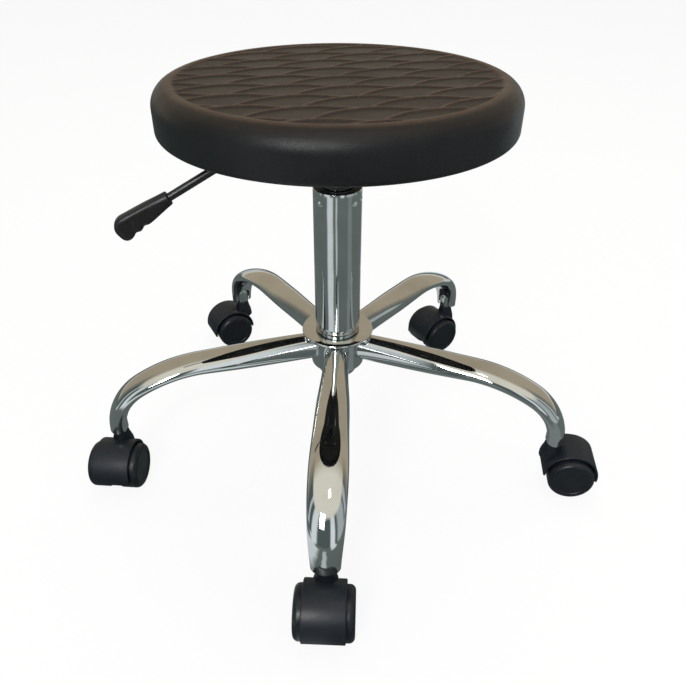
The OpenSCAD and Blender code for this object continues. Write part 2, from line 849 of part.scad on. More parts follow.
module taper_socket() {
    color(BLACK_STEEL)
    difference() {
        rotate_extrude()
        polygon([
            [lift_r + press_gap, socket_base_z], [socket_r, socket_base_z],
            [socket_r, plate_base_z], [chamber_r, plate_base_z],
            [chamber_r, lift_top_z + taper_seat_gap], [lift_top_r + press_gap, lift_top_z],
            [lift_r + press_gap, lift_taper_z]]);
        rotate([0, 0, lever_az])
        translate([0, -lever_slot_w / 2, lever_slot_z])
            cube([socket_r + over, lever_slot_w, plate_base_z - lever_slot_z - slot_bridge]);
    }
}

module screw_places() {
    for (x = [-1, 1], y = [-1, 1])
        translate([x * screw_pitch / 2, y * screw_pitch / 2, 0]) children();
}

// Steel plate with two bent ears that carry the lever's pin
module seat_plate() {
    half = plate_side / 2 - plate_corner_r;
    color(BLACK_STEEL)
    difference() {
        union() {
            translate([0, 0, plate_base_z])
            linear_extrude(plate_t)
            union() {
                square([plate_side, plate_side - 2 * plate_corner_r], center = true);
                square([plate_side - 2 * plate_corner_r, plate_side], center = true);
                for (x = [-1, 1], y = [-1, 1])
                    translate([x * half, y * half]) circle(r = plate_corner_r);
            }
            rotate([0, 0, lever_az])
            for (s = [-1, 1])
                translate([lever_pivot_r, s * (ear_inner + ear_t / 2), ear_base_z])
                translate([-ear_w / 2, -ear_t / 2, 0])
                    cube([ear_w, ear_t, plate_base_z + plate_t / 2 - ear_base_z]);
        }
        translate([0, 0, plate_base_z - over])
            screw_places() cylinder(h = plate_t + 2 * over, r = screw_r + screw_clear);
        rotate([0, 0, lever_az])
        translate([lever_pivot_r, ear_outer + over, lever_z])
        rotate([90, 0, 0])
            cylinder(h = 2 * (ear_outer + over), r = pivot_r + press_gap);
    }
}

module lever_pin() {
    half = ear_outer + body_gap;
    color(STEEL)
    rotate([0, 0, lever_az])
    translate([lever_pivot_r, 0, lever_z])
    rotate([90, 0, 0])
    rotate_extrude()
    polygon([
        [0, -half - pivot_head_t], [pivot_head_r, -half - pivot_head_t],
        [pivot_head_r, -ear_outer], [pivot_r, -ear_outer],
        [pivot_r, half + pivot_head_t], [0, half + pivot_head_t]]);
}

// Children at the lever's knee, with +X down the sloping stretch
module at_slope() {
    rotate([0, 0, lever_az])
    translate([lever_level_l, 0, lever_z])
    rotate([0, lever_bend, 0])
    children();
}

module lever_rod() {
    color(BLACK_STEEL)
    difference() {
        union() {
            rotate([0, 0, lever_az])
            translate([-lever_inner_l, 0, lever_z])
            rotate([0, 90, 0])
                cylinder(h = lever_level_l + lever_inner_l, r = lever_r);
            at_slope()
            rotate([0, 90, 0])
                cylinder(h = lever_slope_l + lever_in_grip, r = lever_r);
            at_slope()
                sphere(r = lever_r + lever_knee_swell);
        }
        rotate([0, 0, lever_az])
        translate([lever_pivot_r, lever_d, lever_z])
        rotate([90, 0, 0])
            cylinder(h = 2 * lever_d, r = pivot_r + run_gap);
    }
}

// Side outline of the grip: x along the grip, y up from the rod's axis
function grip_outline() = concat(
    [[0, -grip_root_r], [0, grip_root_r]],
    arc([grip_l - grip_nose_r, grip_high - grip_nose_r], grip_nose_r, 90, 0, 12),
    arc([grip_toe_x, grip_low + grip_toe_r], grip_toe_r, 0, -90, 8));

// Section of the grip: x from side to side, y up from the rod's axis
function grip_section() =
    let (r = grip_edge_r, side = grip_w / 2 - r, low = grip_low + r, high = grip_high - r)
    concat(
        arc([side, low], r, -90, 0, 5), arc([side, high], r, 0, 90, 5),
        arc([-side, high], r, 90, 180, 5), arc([-side, low], r, 180, 270, 5));

// Height of the grip's lower edge at x along the grip
function grip_low_at(x) = -grip_root_r + (grip_low + grip_root_r) * x / grip_toe_x;

module lever_grip() {
    color(NYLON)
    at_slope()
    translate([lever_slope_l, 0, 0])
    difference() {
        intersection() {
            translate([0, grip_w / 2, 0])
            rotate([90, 0, 0])
            linear_extrude(grip_w)
            difference() {
                polygon(grip_outline());
                for (i = [0:notch_n - 1])
                    let (x = grip_l * notch_first_share + i * notch_pitch)
                    translate([x, grip_low_at(x) - notch_r + notch_depth])
                        circle(r = notch_r);
            }
            translate([-over, 0, 0])
            rotate([90, 0, 90])
            linear_extrude(grip_l + 2 * over)
                polygon(grip_section());
            rotate([0, 90, 0])
                cylinder(h = grip_l, r1 = grip_root_r, r2 = grip_end_h);
        }
        translate([-over, 0, 0])
        rotate([0, 90, 0])
            cylinder(h = lever_in_grip + over, r = lever_r + press_gap);
    }
}

module seat_board() {
    color(PLY)
    difference() {
        translate([0, 0, seat_base_z]) cylinder(h = board_t, r = board_r);
        translate([0, 0, seat_base_z - over])
            screw_places() cylinder(h = screw_grip + over, r = screw_r);
    }
}

module seat_screws() {
    head_z = plate_base_z - washer_t - screw_head_h;
    color(STEEL)
    screw_places()
    difference() {
        union() {
            translate([0, 0, head_z]) cylinder(h = screw_head_h, r = screw_head_r);
            translate([0, 0, plate_base_z - washer_t]) cylinder(h = washer_t, r = washer_r);
            translate([0, 0, plate_base_z - washer_t])
                cylinder(h = washer_t + plate_t + screw_grip, r = screw_r);
        }
        translate([0, 0, head_z - over]) cylinder(h = key_depth + over, r = key_r, $fn = 6);
    }
}

// The near-level raised line of a row, at x, above the row's own base
function row_line(x) = cell_row * cell_wave_share * sin(360 * x / cell_l);

// Height of the raised line that climbs from a cell's left tip to the next row, at x past the tip
function rise_line(x) =
    let (u = min(x / rise_l, 1))
    (1 - u) * row_line(x) + u * row_line(x + cell_step) + cell_row * sin(90 * u);

// Outline of one sunk cell with its left tip at the origin. Its own row's line and the
// next cell's rising line bound it below, and its rising line and the next row's line above
function cell_outline() =
    let (top = [for (x = concat(rise_stops, cell_l)) [x, rise_line(x) - line_w / 2]],
         low = [for (x = row_stops) [x, row_line(x) + line_w / 2]],
         right = [for (x = rise_stops) [x + cell_l, rise_line(x) + line_w / 2]])
    concat(top, [[cell_l + rise_l * cell_tip_share, cell_row - line_w / 2]],
           [for (i = [len(right) - 2:-1:0]) right[i]], [for (i = [len(low) - 1:-1:0]) low[i]]);

module cell_field() {
    rows = ceil(field_d / cell_row / 2) + 1;
    columns = ceil(field_d / cell_l / 2) + 2;
    intersection() {
        circle(d = field_d);
        rotate(field_turn)
        union()
        for (j = [-rows:rows], i = [-columns:columns])
            translate([i * cell_l - j * cell_step, j * cell_row])
                polygon(cell_outline());
    }
}

module seat_pad() {
    color(FOAM)
    difference() {
        rotate_extrude()
        polygon(concat(
            [[0, board_top_z], [board_r, board_top_z], [board_r, seat_base_z]],
            arc([seat_r - seat_foot_r, seat_base_z + seat_foot_r], seat_foot_r, -90, 0, 8),
            arc([seat_r - seat_edge_r, seat_top_z - seat_edge_r], seat_edge_r, 0, 90, 16),
            [[0, seat_top_z]]));
        translate([0, 0, seat_top_z - cell_depth])
            linear_extrude(cell_depth + over)
            cell_field();
    }
}

hub_sleeve();
hub_plate();
for (k = [1:ARM_N]) {
    arm(k);
    stem_socket(k);
    caster_stem(k);
    caster_hood(k);
    caster_axle(k);
    wheel_left(k);
    wheel_right(k);
}
grip_rings();
column_tube();
guide_bush();
lower_race();
ball_cage();
bearing_balls();
upper_race();
rubber_buffer();
piston_rod();
piston();
retaining_clip();
pressure_tube();
rod_gland();
valve_body();
release_pin();
taper_socket();
seat_plate();
lever_pin();
lever_rod();
lever_grip();
seat_board();
seat_pad();
seat_screws();
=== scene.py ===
# Lab stool: moulded seat on a gas lift, five chromed arms and hooded twin-wheel casters.
import math
import random

import bmesh
import bpy
import numpy as np
from mathutils import Matrix, Vector


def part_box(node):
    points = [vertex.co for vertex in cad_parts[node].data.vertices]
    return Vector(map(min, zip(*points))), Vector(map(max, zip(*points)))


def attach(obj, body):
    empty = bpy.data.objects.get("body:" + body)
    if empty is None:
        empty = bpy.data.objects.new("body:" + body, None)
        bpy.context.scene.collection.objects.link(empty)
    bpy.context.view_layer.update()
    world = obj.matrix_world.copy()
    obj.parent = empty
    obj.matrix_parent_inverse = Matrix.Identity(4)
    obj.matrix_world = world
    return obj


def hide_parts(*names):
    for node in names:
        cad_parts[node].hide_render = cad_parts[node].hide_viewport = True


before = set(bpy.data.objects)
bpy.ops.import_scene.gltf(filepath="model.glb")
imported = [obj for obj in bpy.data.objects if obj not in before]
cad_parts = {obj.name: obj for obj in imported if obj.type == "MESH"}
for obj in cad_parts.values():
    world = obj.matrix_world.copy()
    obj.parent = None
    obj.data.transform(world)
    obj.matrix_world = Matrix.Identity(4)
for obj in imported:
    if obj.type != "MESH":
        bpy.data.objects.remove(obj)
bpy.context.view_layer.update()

MM = 0.001
ARMS = range(1, 6)
SIDES = ("left", "right")


# Mesh helpers

def sized(node):
    """Lowest corner, highest corner and centre of a CAD node."""
    low, high = (Vector(corner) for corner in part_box(node))
    return low, high, (low + high) / 2


def mesh_piece(name, points, faces, sharp=35.0):
    """A new smooth-shaded object, creased where its faces meet at more than sharp degrees."""
    mesh = bpy.data.meshes.new(name)
    mesh.from_pydata([tuple(p) for p in points], [], [tuple(f) for f in faces])
    mesh.update()
    piece = bpy.data.objects.new(name, mesh)
    bpy.context.scene.collection.objects.link(piece)
    tidy(piece)
    shade(piece, sharp)
    return piece


def tidy(piece):
    """Merge doubled points, drop flat faces and turn every face outwards."""
    shape = bmesh.new()
    shape.from_mesh(piece.data)
    bmesh.ops.remove_doubles(shape, verts=shape.verts, dist=1e-6)
    bmesh.ops.dissolve_degenerate(shape, edges=shape.edges, dist=1e-6)
    bmesh.ops.recalc_face_normals(shape, faces=shape.faces)
    shape.to_mesh(piece.data)
    shape.free()


def shade(piece, sharp):
    piece.data.polygons.foreach_set("use_smooth", [True] * len(piece.data.polygons))
    piece.data.set_sharp_from_angle(angle=math.radians(sharp))


def ring_faces(rings, count, closed=False):
    """Quads between rings of points that each have count points."""
    faces = []
    for j in range(rings if closed else rings - 1):
        a, b = j * count, (j + 1) % rings * count
        faces += [(a + i, a + (i + 1) % count, b + (i + 1) % count, b + i)
                  for i in range(count)]
    return faces


def lofted(name, rings, sharp=35.0):
    """A closed solid through rings of points, with flat ends."""
    count = len(rings[0])
    points = [p for ring in rings for p in ring]
    faces = ring_faces(len(rings), count)
    faces.append(list(range(count))[::-1])
    faces.append([len(points) - count + i for i in range(count)])
    return mesh_piece(name, points, faces, sharp)


def lathe(name, outline, turns=96, sharp=35.0):
    """A closed outline of (radius, height) points turned about +Z."""
    angles = np.arange(turns) * (2 * math.pi / turns)
    points = [(r * math.cos(a), r * math.sin(a), z) for r, z in outline for a in angles]
    return mesh_piece(name, points, ring_faces(len(outline), turns, closed=True), sharp)


def slab(name, outline, low, high, along="Y"):
    """A flat outline of (across, up) points drawn out along X or Y."""
    put = (lambda a, d, z: (a, d, z)) if along == "Y" else (lambda a, d, z: (d, a, z))
    rings = [[put(a, d, z) for a, z in outline] for d in (low, high)]
    return lofted(name, rings)


def arc(centre, radius, start, end, steps=8):
    """Points of an arc from start to end degrees."""
    return [(centre[0] + radius * math.cos(math.radians(start + (end - start) * i / steps)),
             centre[1] + radius * math.sin(math.radians(start + (end - start) * i / steps)))
            for i in range(steps + 1)]


def rounded_box(half_w, half_h, corner, steps=5):
    """Outline of a rectangle with rounded corners, as (across, up) points."""
    points = []
    for sx, sy, start in ((1, 1, 0), (-1, 1, 90), (-1, -1, 180), (1, -1, 270)):
        points += arc((sx * (half_w - corner), sy * (half_h - corner)), corner,
                      start, start + 90, steps)
    return points


def combine(piece, others, operation):
    """Join others to a piece, or take them out of it, and throw the others away."""
    for other in others:
        step = piece.modifiers.new("combine", "BOOLEAN")
        step.operation = operation
        step.solver = "EXACT"
        step.object = other
    graph = bpy.context.evaluated_depsgraph_get()
    mesh = bpy.data.meshes.new_from_object(piece.evaluated_get(graph))
    piece.modifiers.clear()
    piece.data = mesh
    for other in others:
        bpy.data.objects.remove(other)
    tidy(piece)


def turned_copy(piece, name, matrix):
    """A copy of a piece with the matrix worked into its mesh."""
    twin = bpy.data.objects.new(name, piece.data.copy())
    bpy.context.scene.collection.objects.link(twin)
    twin.data.transform(matrix)
    return twin


def dress(piece, body, material, slot, *nodes):
    """Give a piece its body and its finish, and hide the CAD nodes that it stands for."""
    piece.data.materials.clear()
    piece.data.materials.append(material)
    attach(piece, body)
    if nodes:
        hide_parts(*nodes)


def coat(material, *nodes):
    """Give CAD nodes that keep their own mesh a better material."""
    for node in nodes:
        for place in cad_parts[node].material_slots:
            place.material = material


# Shader helpers

FLOAT, COLOUR = "NodeSocketFloat", "NodeSocketColor"


def fill_sockets(tree, node, values):
    for key, value in values.items():
        plug = node.inputs[key]
        if isinstance(value, bpy.types.NodeSocket):
            tree.links.new(value, plug)
        else:
            plug.default_value = value
    return node


def add(tree, kind, inputs=None, **settings):
    """A shader node with its settings made and its inputs filled in or linked."""
    node = tree.nodes.new(kind)
    for key, value in settings.items():
        setattr(node, key, value)
    return fill_sockets(tree, node, inputs or {})


def linear(code):
    """A linear colour from an sRGB hex code."""
    values = [int(code[i:i + 2], 16) / 255 for i in (0, 2, 4)]
    return [v / 12.92 if v <= 0.04045 else ((v + 0.055) / 1.055) ** 2.4 for v in values] + [1]


def ranged(tree, value, low, high, start=0.0, end=1.0):
    """A value from start to end brought to low to high."""
    return add(tree, "ShaderNodeMapRange", {"Value": value, "From Min": start, "From Max": end,
                                            "To Min": low, "To Max": high}).outputs[0]


def reckon(tree, operation, *values):
    return add(tree, "ShaderNodeMath", dict(enumerate(values)), operation=operation).outputs[0]


def blended(tree, factor, first, second):
    """A mix of two colours."""
    mixed = add(tree, "ShaderNodeMix", {0: factor, 6: first, 7: second}, data_type="RGBA")
    return mixed.outputs[2]


def new_group(name, inputs, outputs):
    """An empty shader group with named sockets."""
    group = bpy.data.node_groups.new(name, "ShaderNodeTree")
    for label, kind, value in inputs:
        socket = group.interface.new_socket(label, in_out="INPUT", socket_type=kind)
        socket.default_value = value
    for label, kind in outputs:
        group.interface.new_socket(label, in_out="OUTPUT", socket_type=kind)
    return group, add(group, "NodeGroupInput").outputs, add(group, "NodeGroupOutput")


def own_place(tree):
    return add(tree, "ShaderNodeTexCoord").outputs["Object"]


def make_pebble_group():
    """Pebbled skin of moulded parts: height in cells, with creases between them."""
    group, given, made = new_group("pebble_grain", [("Cell Size", FLOAT, 0.001)],
                                   [("Height", FLOAT), ("Crease", FLOAT)])
    count = reckon(group, "DIVIDE", 1.0, given["Cell Size"])
    place = own_place(group)
    wobble = add(group, "ShaderNodeTexNoise", {"Vector": place, "Scale": count, "Detail": 2.0})
    drift = add(group, "ShaderNodeVectorMath", {0: wobble.outputs["Color"], "Scale": 0.0005},
                operation="SCALE")
    spot = add(group, "ShaderNodeVectorMath", {0: place, 1: drift.outputs[0]}, operation="ADD")
    cells = add(group, "ShaderNodeTexVoronoi", {"Vector": spot.outputs[0], "Scale": count},
                feature="DISTANCE_TO_EDGE")
    height = ranged(group, cells.outputs["Distance"], 0.0, 1.0, 0.0, 0.3)
    fill_sockets(group, made, {"Height": height, "Crease": reckon(group, "SUBTRACT", 1.0, height)})
    return group


def make_handling_group():
    """Traces of handling from 0 to 1: soft blotches and fine scratches."""
    group, given, made = new_group("handling", [("Patch Size", FLOAT, 0.03)],
                                   [("Patches", FLOAT), ("Scratches", FLOAT)])
    place = own_place(group)
    blotch = add(group, "ShaderNodeTexNoise",
                 {"Vector": place, "Scale": reckon(group, "DIVIDE", 1.0, given["Patch Size"]),
                  "Detail": 4.0, "Roughness": 0.6})
    drawn = add(group, "ShaderNodeMapping", {"Vector": place, "Rotation": (0.4, 0.7, 0.2),
                                             "Scale": (1100.0, 1100.0, 16.0)})
    streaks = add(group, "ShaderNodeTexNoise", {"Vector": drawn.outputs[0], "Scale": 1.0,
                                                "Detail": 1.0})
    fill_sockets(group, made, {
        "Patches": ranged(group, blotch.outputs["Fac"], 0.0, 1.0, 0.42, 0.68),
        "Scratches": ranged(group, streaks.outputs["Fac"], 0.0, 1.0, 0.72, 0.78)})
    return group


def make_dust_and_sheen_group():
    """A film on faces that look up, broken up by specks: dust, which its callers tint into a painted
    sheen of light from above.
    """
    group, given, made = new_group("dust_and_sheen", [("Colour", COLOUR, (0, 0, 0, 1)),
                                            ("Film Colour", COLOUR, linear("8f8a80")),
                                            ("Amount", FLOAT, 0.1)],
                                   [("Colour", COLOUR), ("Film", FLOAT)])
    facing = add(group, "ShaderNodeSeparateXYZ",
                 {0: add(group, "ShaderNodeNewGeometry").outputs["Normal"]})
    specks = add(group, "ShaderNodeTexNoise", {"Vector": own_place(group), "Scale": 160.0,
                                               "Detail": 5.0, "Roughness": 0.7})
    lying = reckon(group, "MULTIPLY", ranged(group, facing.outputs["Z"], 0.0, 1.0, 0.3, 1.0),
                   specks.outputs["Fac"])
    film = reckon(group, "MULTIPLY", lying, given["Amount"])
    fill_sockets(group, made, {
        "Colour": blended(group, film, given["Colour"], given["Film Colour"]), "Film": film})
    return group


def make_wear_group():
    """Worn edges from 0 to 1, where a surface bends sharply outwards."""
    group, given, made = new_group("edge_wear", [("Amount", FLOAT, 0.5)], [("Wear", FLOAT)])
    bend = add(group, "ShaderNodeNewGeometry").outputs["Pointiness"]
    specks = add(group, "ShaderNodeTexNoise", {"Vector": own_place(group), "Scale": 400.0,
                                               "Detail": 3.0})
    edges = reckon(group, "MULTIPLY", ranged(group, bend, 0.0, 1.0, 0.52, 0.62),
                   specks.outputs["Fac"])
    fill_sockets(group, made, {"Wear": reckon(group, "MULTIPLY", edges, given["Amount"])})
    return group


PEBBLES = make_pebble_group()
HANDLING = make_handling_group()
DUST_AND_SHEEN = make_dust_and_sheen_group()
EDGE_WEAR = make_wear_group()


def placed(tree, group, **values):
    """A shader group in a material, with its own values."""
    node = add(tree, "ShaderNodeGroup", node_tree=group)
    return fill_sockets(tree, node, {k.replace("_", " "): v for k, v in values.items()}).outputs


def new_material(name, **values):
    """A material with its own Principled shader: the material, its tree and the shader's inputs."""
    material = bpy.data.materials.new(name)
    material.use_nodes = True
    tree = material.node_tree
    tree.nodes.clear()
    surface = add(tree, "ShaderNodeBsdfPrincipled", {k.replace("_", " "): v
                                                     for k, v in values.items()})
    output = add(tree, "ShaderNodeOutputMaterial")
    tree.links.new(surface.outputs[0], output.inputs["Surface"])
    return material, tree, surface.inputs


def rough_and_tone(tree, surface, factor, rough, tones):
    """Roughness and colour that both follow one mask."""
    tree.links.new(ranged(tree, factor, *rough), surface["Roughness"])
    tree.links.new(blended(tree, factor, linear(tones[0]), linear(tones[1])),
                   surface["Base Color"])


def bumped(tree, surface, height, depth, strength=0.5):
    bump = add(tree, "ShaderNodeBump", {"Height": height, "Strength": strength,
                                        "Distance": depth})
    tree.links.new(bump.outputs[0], surface["Normal"])


def noise(tree, scale, detail=2.0):
    return add(tree, "ShaderNodeTexNoise", {"Vector": own_place(tree), "Scale": scale,
                                            "Detail": detail}).outputs["Fac"]


def bright_chrome():
    """Chromium plating with faint polishing waves, handling marks and dull patches."""
    material, tree, surface = new_material("bright_chrome", Metallic=1.0)
    marks = placed(tree, HANDLING, Patch_Size=0.045)
    rough_and_tone(tree, surface, marks["Patches"], (0.035, 0.075), ("d6d8d7", "caccca"))
    bumped(tree, surface, noise(tree, 55.0), 0.00010, 0.35)
    return material


def plated_steel():
    """Zinc-plated steel of stems, axles and screws."""
    material, tree, surface = new_material("zinc_steel", Metallic=1.0)
    marks = placed(tree, HANDLING, Patch_Size=0.006)
    rough_and_tone(tree, surface, marks["Patches"], (0.22, 0.42), ("b9bbbd", "8f9294"))
    return material


def powder_coat():
    """Black satin powder coat with orange peel and a few scratches."""
    material, tree, surface = new_material("black_powder_coat")
    marks = placed(tree, HANDLING, Patch_Size=0.02)
    wear_and_sheen = placed(tree, EDGE_WEAR, Amount=0.5)["Wear"]
    shown = reckon(tree, "MAXIMUM", marks["Scratches"], wear_and_sheen)
    tree.links.new(ranged(tree, marks["Patches"], 0.28, 0.40), surface["Roughness"])
    tree.links.new(blended(tree, shown, linear("101011"), linear("2c2b2b")),
                   surface["Base Color"])
    bumped(tree, surface, noise(tree, 900.0), 0.00008, 0.4)
    return material


def moulded_nylon(name, colour, rough, dust_and_sheen, spark=2200.0):
    """Black moulded nylon with spark texture, scuffs on its edges and a little dust, tinted blue-grey
    as a painted sheen on faces that look up.
    """
    material, tree, surface = new_material(name, Specular_IOR_Level=0.3)
    marks = placed(tree, HANDLING, Patch_Size=0.018)
    wear_and_sheen = placed(tree, EDGE_WEAR, Amount=0.6)["Wear"]
    scuffed = blended(tree, reckon(tree, "MAXIMUM", marks["Scratches"], wear_and_sheen),
                      linear(colour), linear("2a2c30"))
    # Painted sheen: a blue-grey film on faces that look up stands in for the sky's reflection.
    film = placed(tree, DUST_AND_SHEEN, Colour=scuffed, Film_Colour=linear("7f8b97"), Amount=dust_and_sheen)
    tree.links.new(film["Colour"], surface["Base Color"])
    tree.links.new(ranged(tree, marks["Patches"], *rough), surface["Roughness"])
    bumped(tree, surface, noise(tree, spark), 0.00005, 0.35)
    return material


SEAT_TOP_Z = sized("seat_pad")[1].z
CELL_DEPTH = 1.3 * MM


def seat_skin():
    """Integral-skin polyurethane: near black and finely pebbled, with a painted brown sheen of warm
    light on its top, strongest on the raised lines.
    """
    material, tree, surface = new_material("seat_skin", Specular_IOR_Level=0.3)
    grain = placed(tree, PEBBLES, Cell_Size=0.0011)
    marks = placed(tree, HANDLING, Patch_Size=0.05)
    patches = reckon(tree, "MULTIPLY", marks["Patches"], 0.5)
    base = blended(tree, patches, linear("0d0f11"), linear("131416"))
    height = add(tree, "ShaderNodeSeparateXYZ", {0: own_place(tree)}).outputs["Z"]
    # Painted sheen: a brown film on the top, thickest on the raised lines, stands in for warm light
    # from above.
    wear_and_sheen = ranged(tree, height, 0.07, 0.38, SEAT_TOP_Z - CELL_DEPTH, SEAT_TOP_Z)
    film = placed(tree, DUST_AND_SHEEN, Colour=base, Film_Colour=linear("785a47"), Amount=wear_and_sheen)
    tree.links.new(film["Colour"], surface["Base Color"])
    tree.links.new(ranged(tree, marks["Patches"], 0.34, 0.44), surface["Roughness"])
    bumped(tree, surface, grain["Height"], 0.00012, 0.45)
    return material


def painted_plywood():
    """Plywood under thin black paint, its figure telegraphing through."""
    material, tree, surface = new_material("painted_plywood")
    drawn = add(tree, "ShaderNodeMapping", {"Vector": own_place(tree),
                                            "Scale": (6.0, 90.0, 400.0)})
    figure = add(tree, "ShaderNodeTexNoise", {"Vector": drawn.outputs[0], "Scale": 1.0,
                                              "Detail": 5.0}).outputs["Fac"]
    rough_and_tone(tree, surface, figure, (0.5, 0.8), ("141312", "262220"))
    bumped(tree, surface, figure, 0.0002, 0.4)
    return material


def turned_brass():
    material, tree, surface = new_material("turned_brass", Metallic=1.0)
    marks = placed(tree, HANDLING, Patch_Size=0.004)
    rough_and_tone(tree, surface, marks["Patches"], (0.2, 0.35), ("d2b066", "a5823f"))
    return material


def soft_rubber():
    material, tree, surface = new_material("buffer_rubber")
    marks = placed(tree, HANDLING, Patch_Size=0.005)
    rough_and_tone(tree, surface, marks["Patches"], (0.6, 0.8), ("151515", "262524"))
    return material


BRIGHT_CHROME = bright_chrome()
ZINC_STEEL = plated_steel()
BLACK_STEEL = powder_coat()
# The last number of each nylon is the amount of its dust and painted blue-grey sheen.
WHEEL_NYLON = moulded_nylon("wheel_nylon", "12151a", (0.30, 0.42), 0.06)
HOOD_NYLON = moulded_nylon("hood_nylon", "12171e", (0.38, 0.50), 0.05)
GRIP_PLASTIC = moulded_nylon("grip_plastic", "161415", (0.30, 0.42), 0.08, 1400.0)
SEAT_SKIN = seat_skin()
PLYWOOD = painted_plywood()
BRASS = turned_brass()
RUBBER = soft_rubber()


# Seat cushion

SEAT_LOW, SEAT_HIGH = sized("seat_pad")[:2]
SEAT_R = (SEAT_HIGH.y - SEAT_LOW.y) / 2
BOARD_TOP = sized("seat_board")[1].z
BOARD_R = sized("seat_board")[1].x
BOARD_GAP = 0.3 * MM
EDGE_R = 18 * MM
FOOT_R = 5 * MM
FIELD_R = SEAT_R - EDGE_R - 0.5 * MM
FIELD_ROUND = 5 * MM
CELL_L = 54 * MM
CELL_ROW = 34 * MM
CELL_STEP = 10 * MM
LINE_HALF = 0.6 * MM
LINE_FLANK = 2.8 * MM
WAVE_SHARE = 0.06
RISE_L = CELL_L * 0.78
TOP_CELLS = 320


def row_line(x):
    return CELL_ROW * WAVE_SHARE * np.sin(2 * math.pi * x / CELL_L)


def rise_line(x):
    u = np.clip(x / RISE_L, 0, 1)
    return (1 - u) * row_line(x) + u * row_line(x + CELL_STEP) + CELL_ROW * np.sin(math.pi / 2 * u)


def line_distance(x, y):
    """Distance from a point of the seat's top to the nearest raised line."""
    row = np.floor(y / CELL_ROW)
    nearest = np.full(x.shape, 1.0)
    for j in (row - 1, row, row + 1):
        u, v = x + j * CELL_STEP, y - j * CELL_ROW
        nearest = np.minimum(nearest, np.abs(v - row_line(u)))
        past = np.mod(u, CELL_L)
        for along in (past, past + CELL_L):
            slope = (rise_line(along + MM) - rise_line(along)) / MM
            gap = np.abs(v - rise_line(along)) / np.sqrt(1 + slope ** 2)
            nearest = np.minimum(nearest, np.where(along <= RISE_L, gap, 1.0))
    return nearest


def smooth_step(low, high, x):
    t = np.clip((x - low) / (high - low), 0, 1)
    return t * t * (3 - 2 * t)


def disc_grid(cells, radius):
    """Points of a square grid wrapped evenly onto a disc."""
    t = np.linspace(-1, 1, cells + 1)
    a, b = np.meshgrid(t, t)
    wide = np.abs(a) >= np.abs(b)
    r = np.where(wide, a, b)
    with np.errstate(divide="ignore", invalid="ignore"):
        turn = np.where(wide, math.pi / 4 * (b / a), math.pi / 2 - math.pi / 4 * (a / b))
    turn = np.where(r == 0, 0, turn)
    return radius * r * np.cos(turn), radius * r * np.sin(turn)


def seat_cushion():
    x, y = disc_grid(TOP_CELLS, FIELD_R)
    sunk = smooth_step(LINE_HALF, LINE_HALF + LINE_FLANK, line_distance(x, y))
    rim = smooth_step(FIELD_R, FIELD_R - FIELD_ROUND, np.hypot(x, y))
    z = SEAT_TOP_Z - CELL_DEPTH * sunk * rim
    n = TOP_CELLS
    points = np.stack([x, y, z], -1).reshape(-1, 3).tolist()
    faces = [(j * (n + 1) + i, j * (n + 1) + i + 1, (j + 1) * (n + 1) + i + 1,
              (j + 1) * (n + 1) + i) for j in range(n) for i in range(n)]
    border = (list(range(n)) + [j * (n + 1) + n for j in range(n)]
              + [n * (n + 1) + n - i for i in range(n)] + [(n - j) * (n + 1) for j in range(n)])
    top, low = SEAT_TOP_Z, SEAT_LOW.z
    profile = (arc((SEAT_R - EDGE_R, top - EDGE_R), EDGE_R, 90, 0, 14)
               + arc((SEAT_R - FOOT_R, low + FOOT_R), FOOT_R, 0, -90, 6)
               + [(BOARD_R + BOARD_GAP, low), (BOARD_R + BOARD_GAP, BOARD_TOP + BOARD_GAP)])
    last = border
    for r, height in profile:
        ring = list(range(len(points), len(points) + len(border)))
        for i in border:
            scale = r / math.hypot(points[i][0], points[i][1])
            points.append([points[i][0] * scale, points[i][1] * scale, height])
        faces += [(last[i - 1], ring[i - 1], ring[i], last[i]) for i in range(len(ring))]
        last = ring
    faces.append(last)
    piece = mesh_piece("seat_cushion", points, faces, 60)
    dress(piece, "seat", SEAT_SKIN, "seat_foam", "seat_pad")


# Base arms

def arm_sizes(root, middle, tip, to_middle, to_tip):
    """Sizes at equal steps along the arm, by shares of the change to its middle, then its tip."""
    return ([root + (middle - root) * share for share in to_middle]
            + [middle + (tip - middle) * share for share in to_tip])


HUB_R = 30 * MM
STEM_CIRCLE_R = -sized("caster_stem_1")[2].y
ARM_WIDTHS = arm_sizes(26 * MM, 38 * MM, 28 * MM, (0, 0.25, 0.67, 0.83, 1), (0.28, 1))
ARM_DEPTHS = arm_sizes(31 * MM, 17.5 * MM, 19.5 * MM, (0, 0.07, 0.36, 0.79, 1), (0.45, 1))
ARM_WALL = 1.6 * MM
ARM_ROOT_R = 24 * MM
ARM_TIP_R = STEM_CIRCLE_R + 1.25 * MM
TIP_Z = sized("stem_socket_1")[0].z
LONG_R, LONG_A = 150 * MM, math.radians(28)
TIGHT_R, TIGHT_A = 58 * MM, math.radians(58)
TAIL_L = 5.8 * MM
LONG_RUN, LONG_DROP = LONG_R * math.sin(LONG_A), LONG_R * (1 - math.cos(LONG_A))
TIGHT_RUN = TIGHT_R * (math.sin(LONG_A + TIGHT_A) - math.sin(LONG_A))
TIGHT_DROP = TIGHT_R * (math.cos(LONG_A) - math.cos(LONG_A + TIGHT_A))
ARM_Z = TIP_Z + TAIL_L * math.sin(LONG_A + TIGHT_A) + TIGHT_DROP + LONG_DROP
BEND_START_R = ARM_TIP_R - LONG_RUN - TIGHT_RUN - TAIL_L * math.cos(LONG_A + TIGHT_A)
LEVEL_L = BEND_START_R - ARM_ROOT_R
LONG_L, TIGHT_L = LONG_R * LONG_A, TIGHT_R * TIGHT_A
ARM_L = LEVEL_L + LONG_L + TIGHT_L + TAIL_L
ARM_SIDES = 64
ARM_RINGS = 130
TIP_ROUND = 0.35 * MM
SOCKET_R = 9.05 * MM
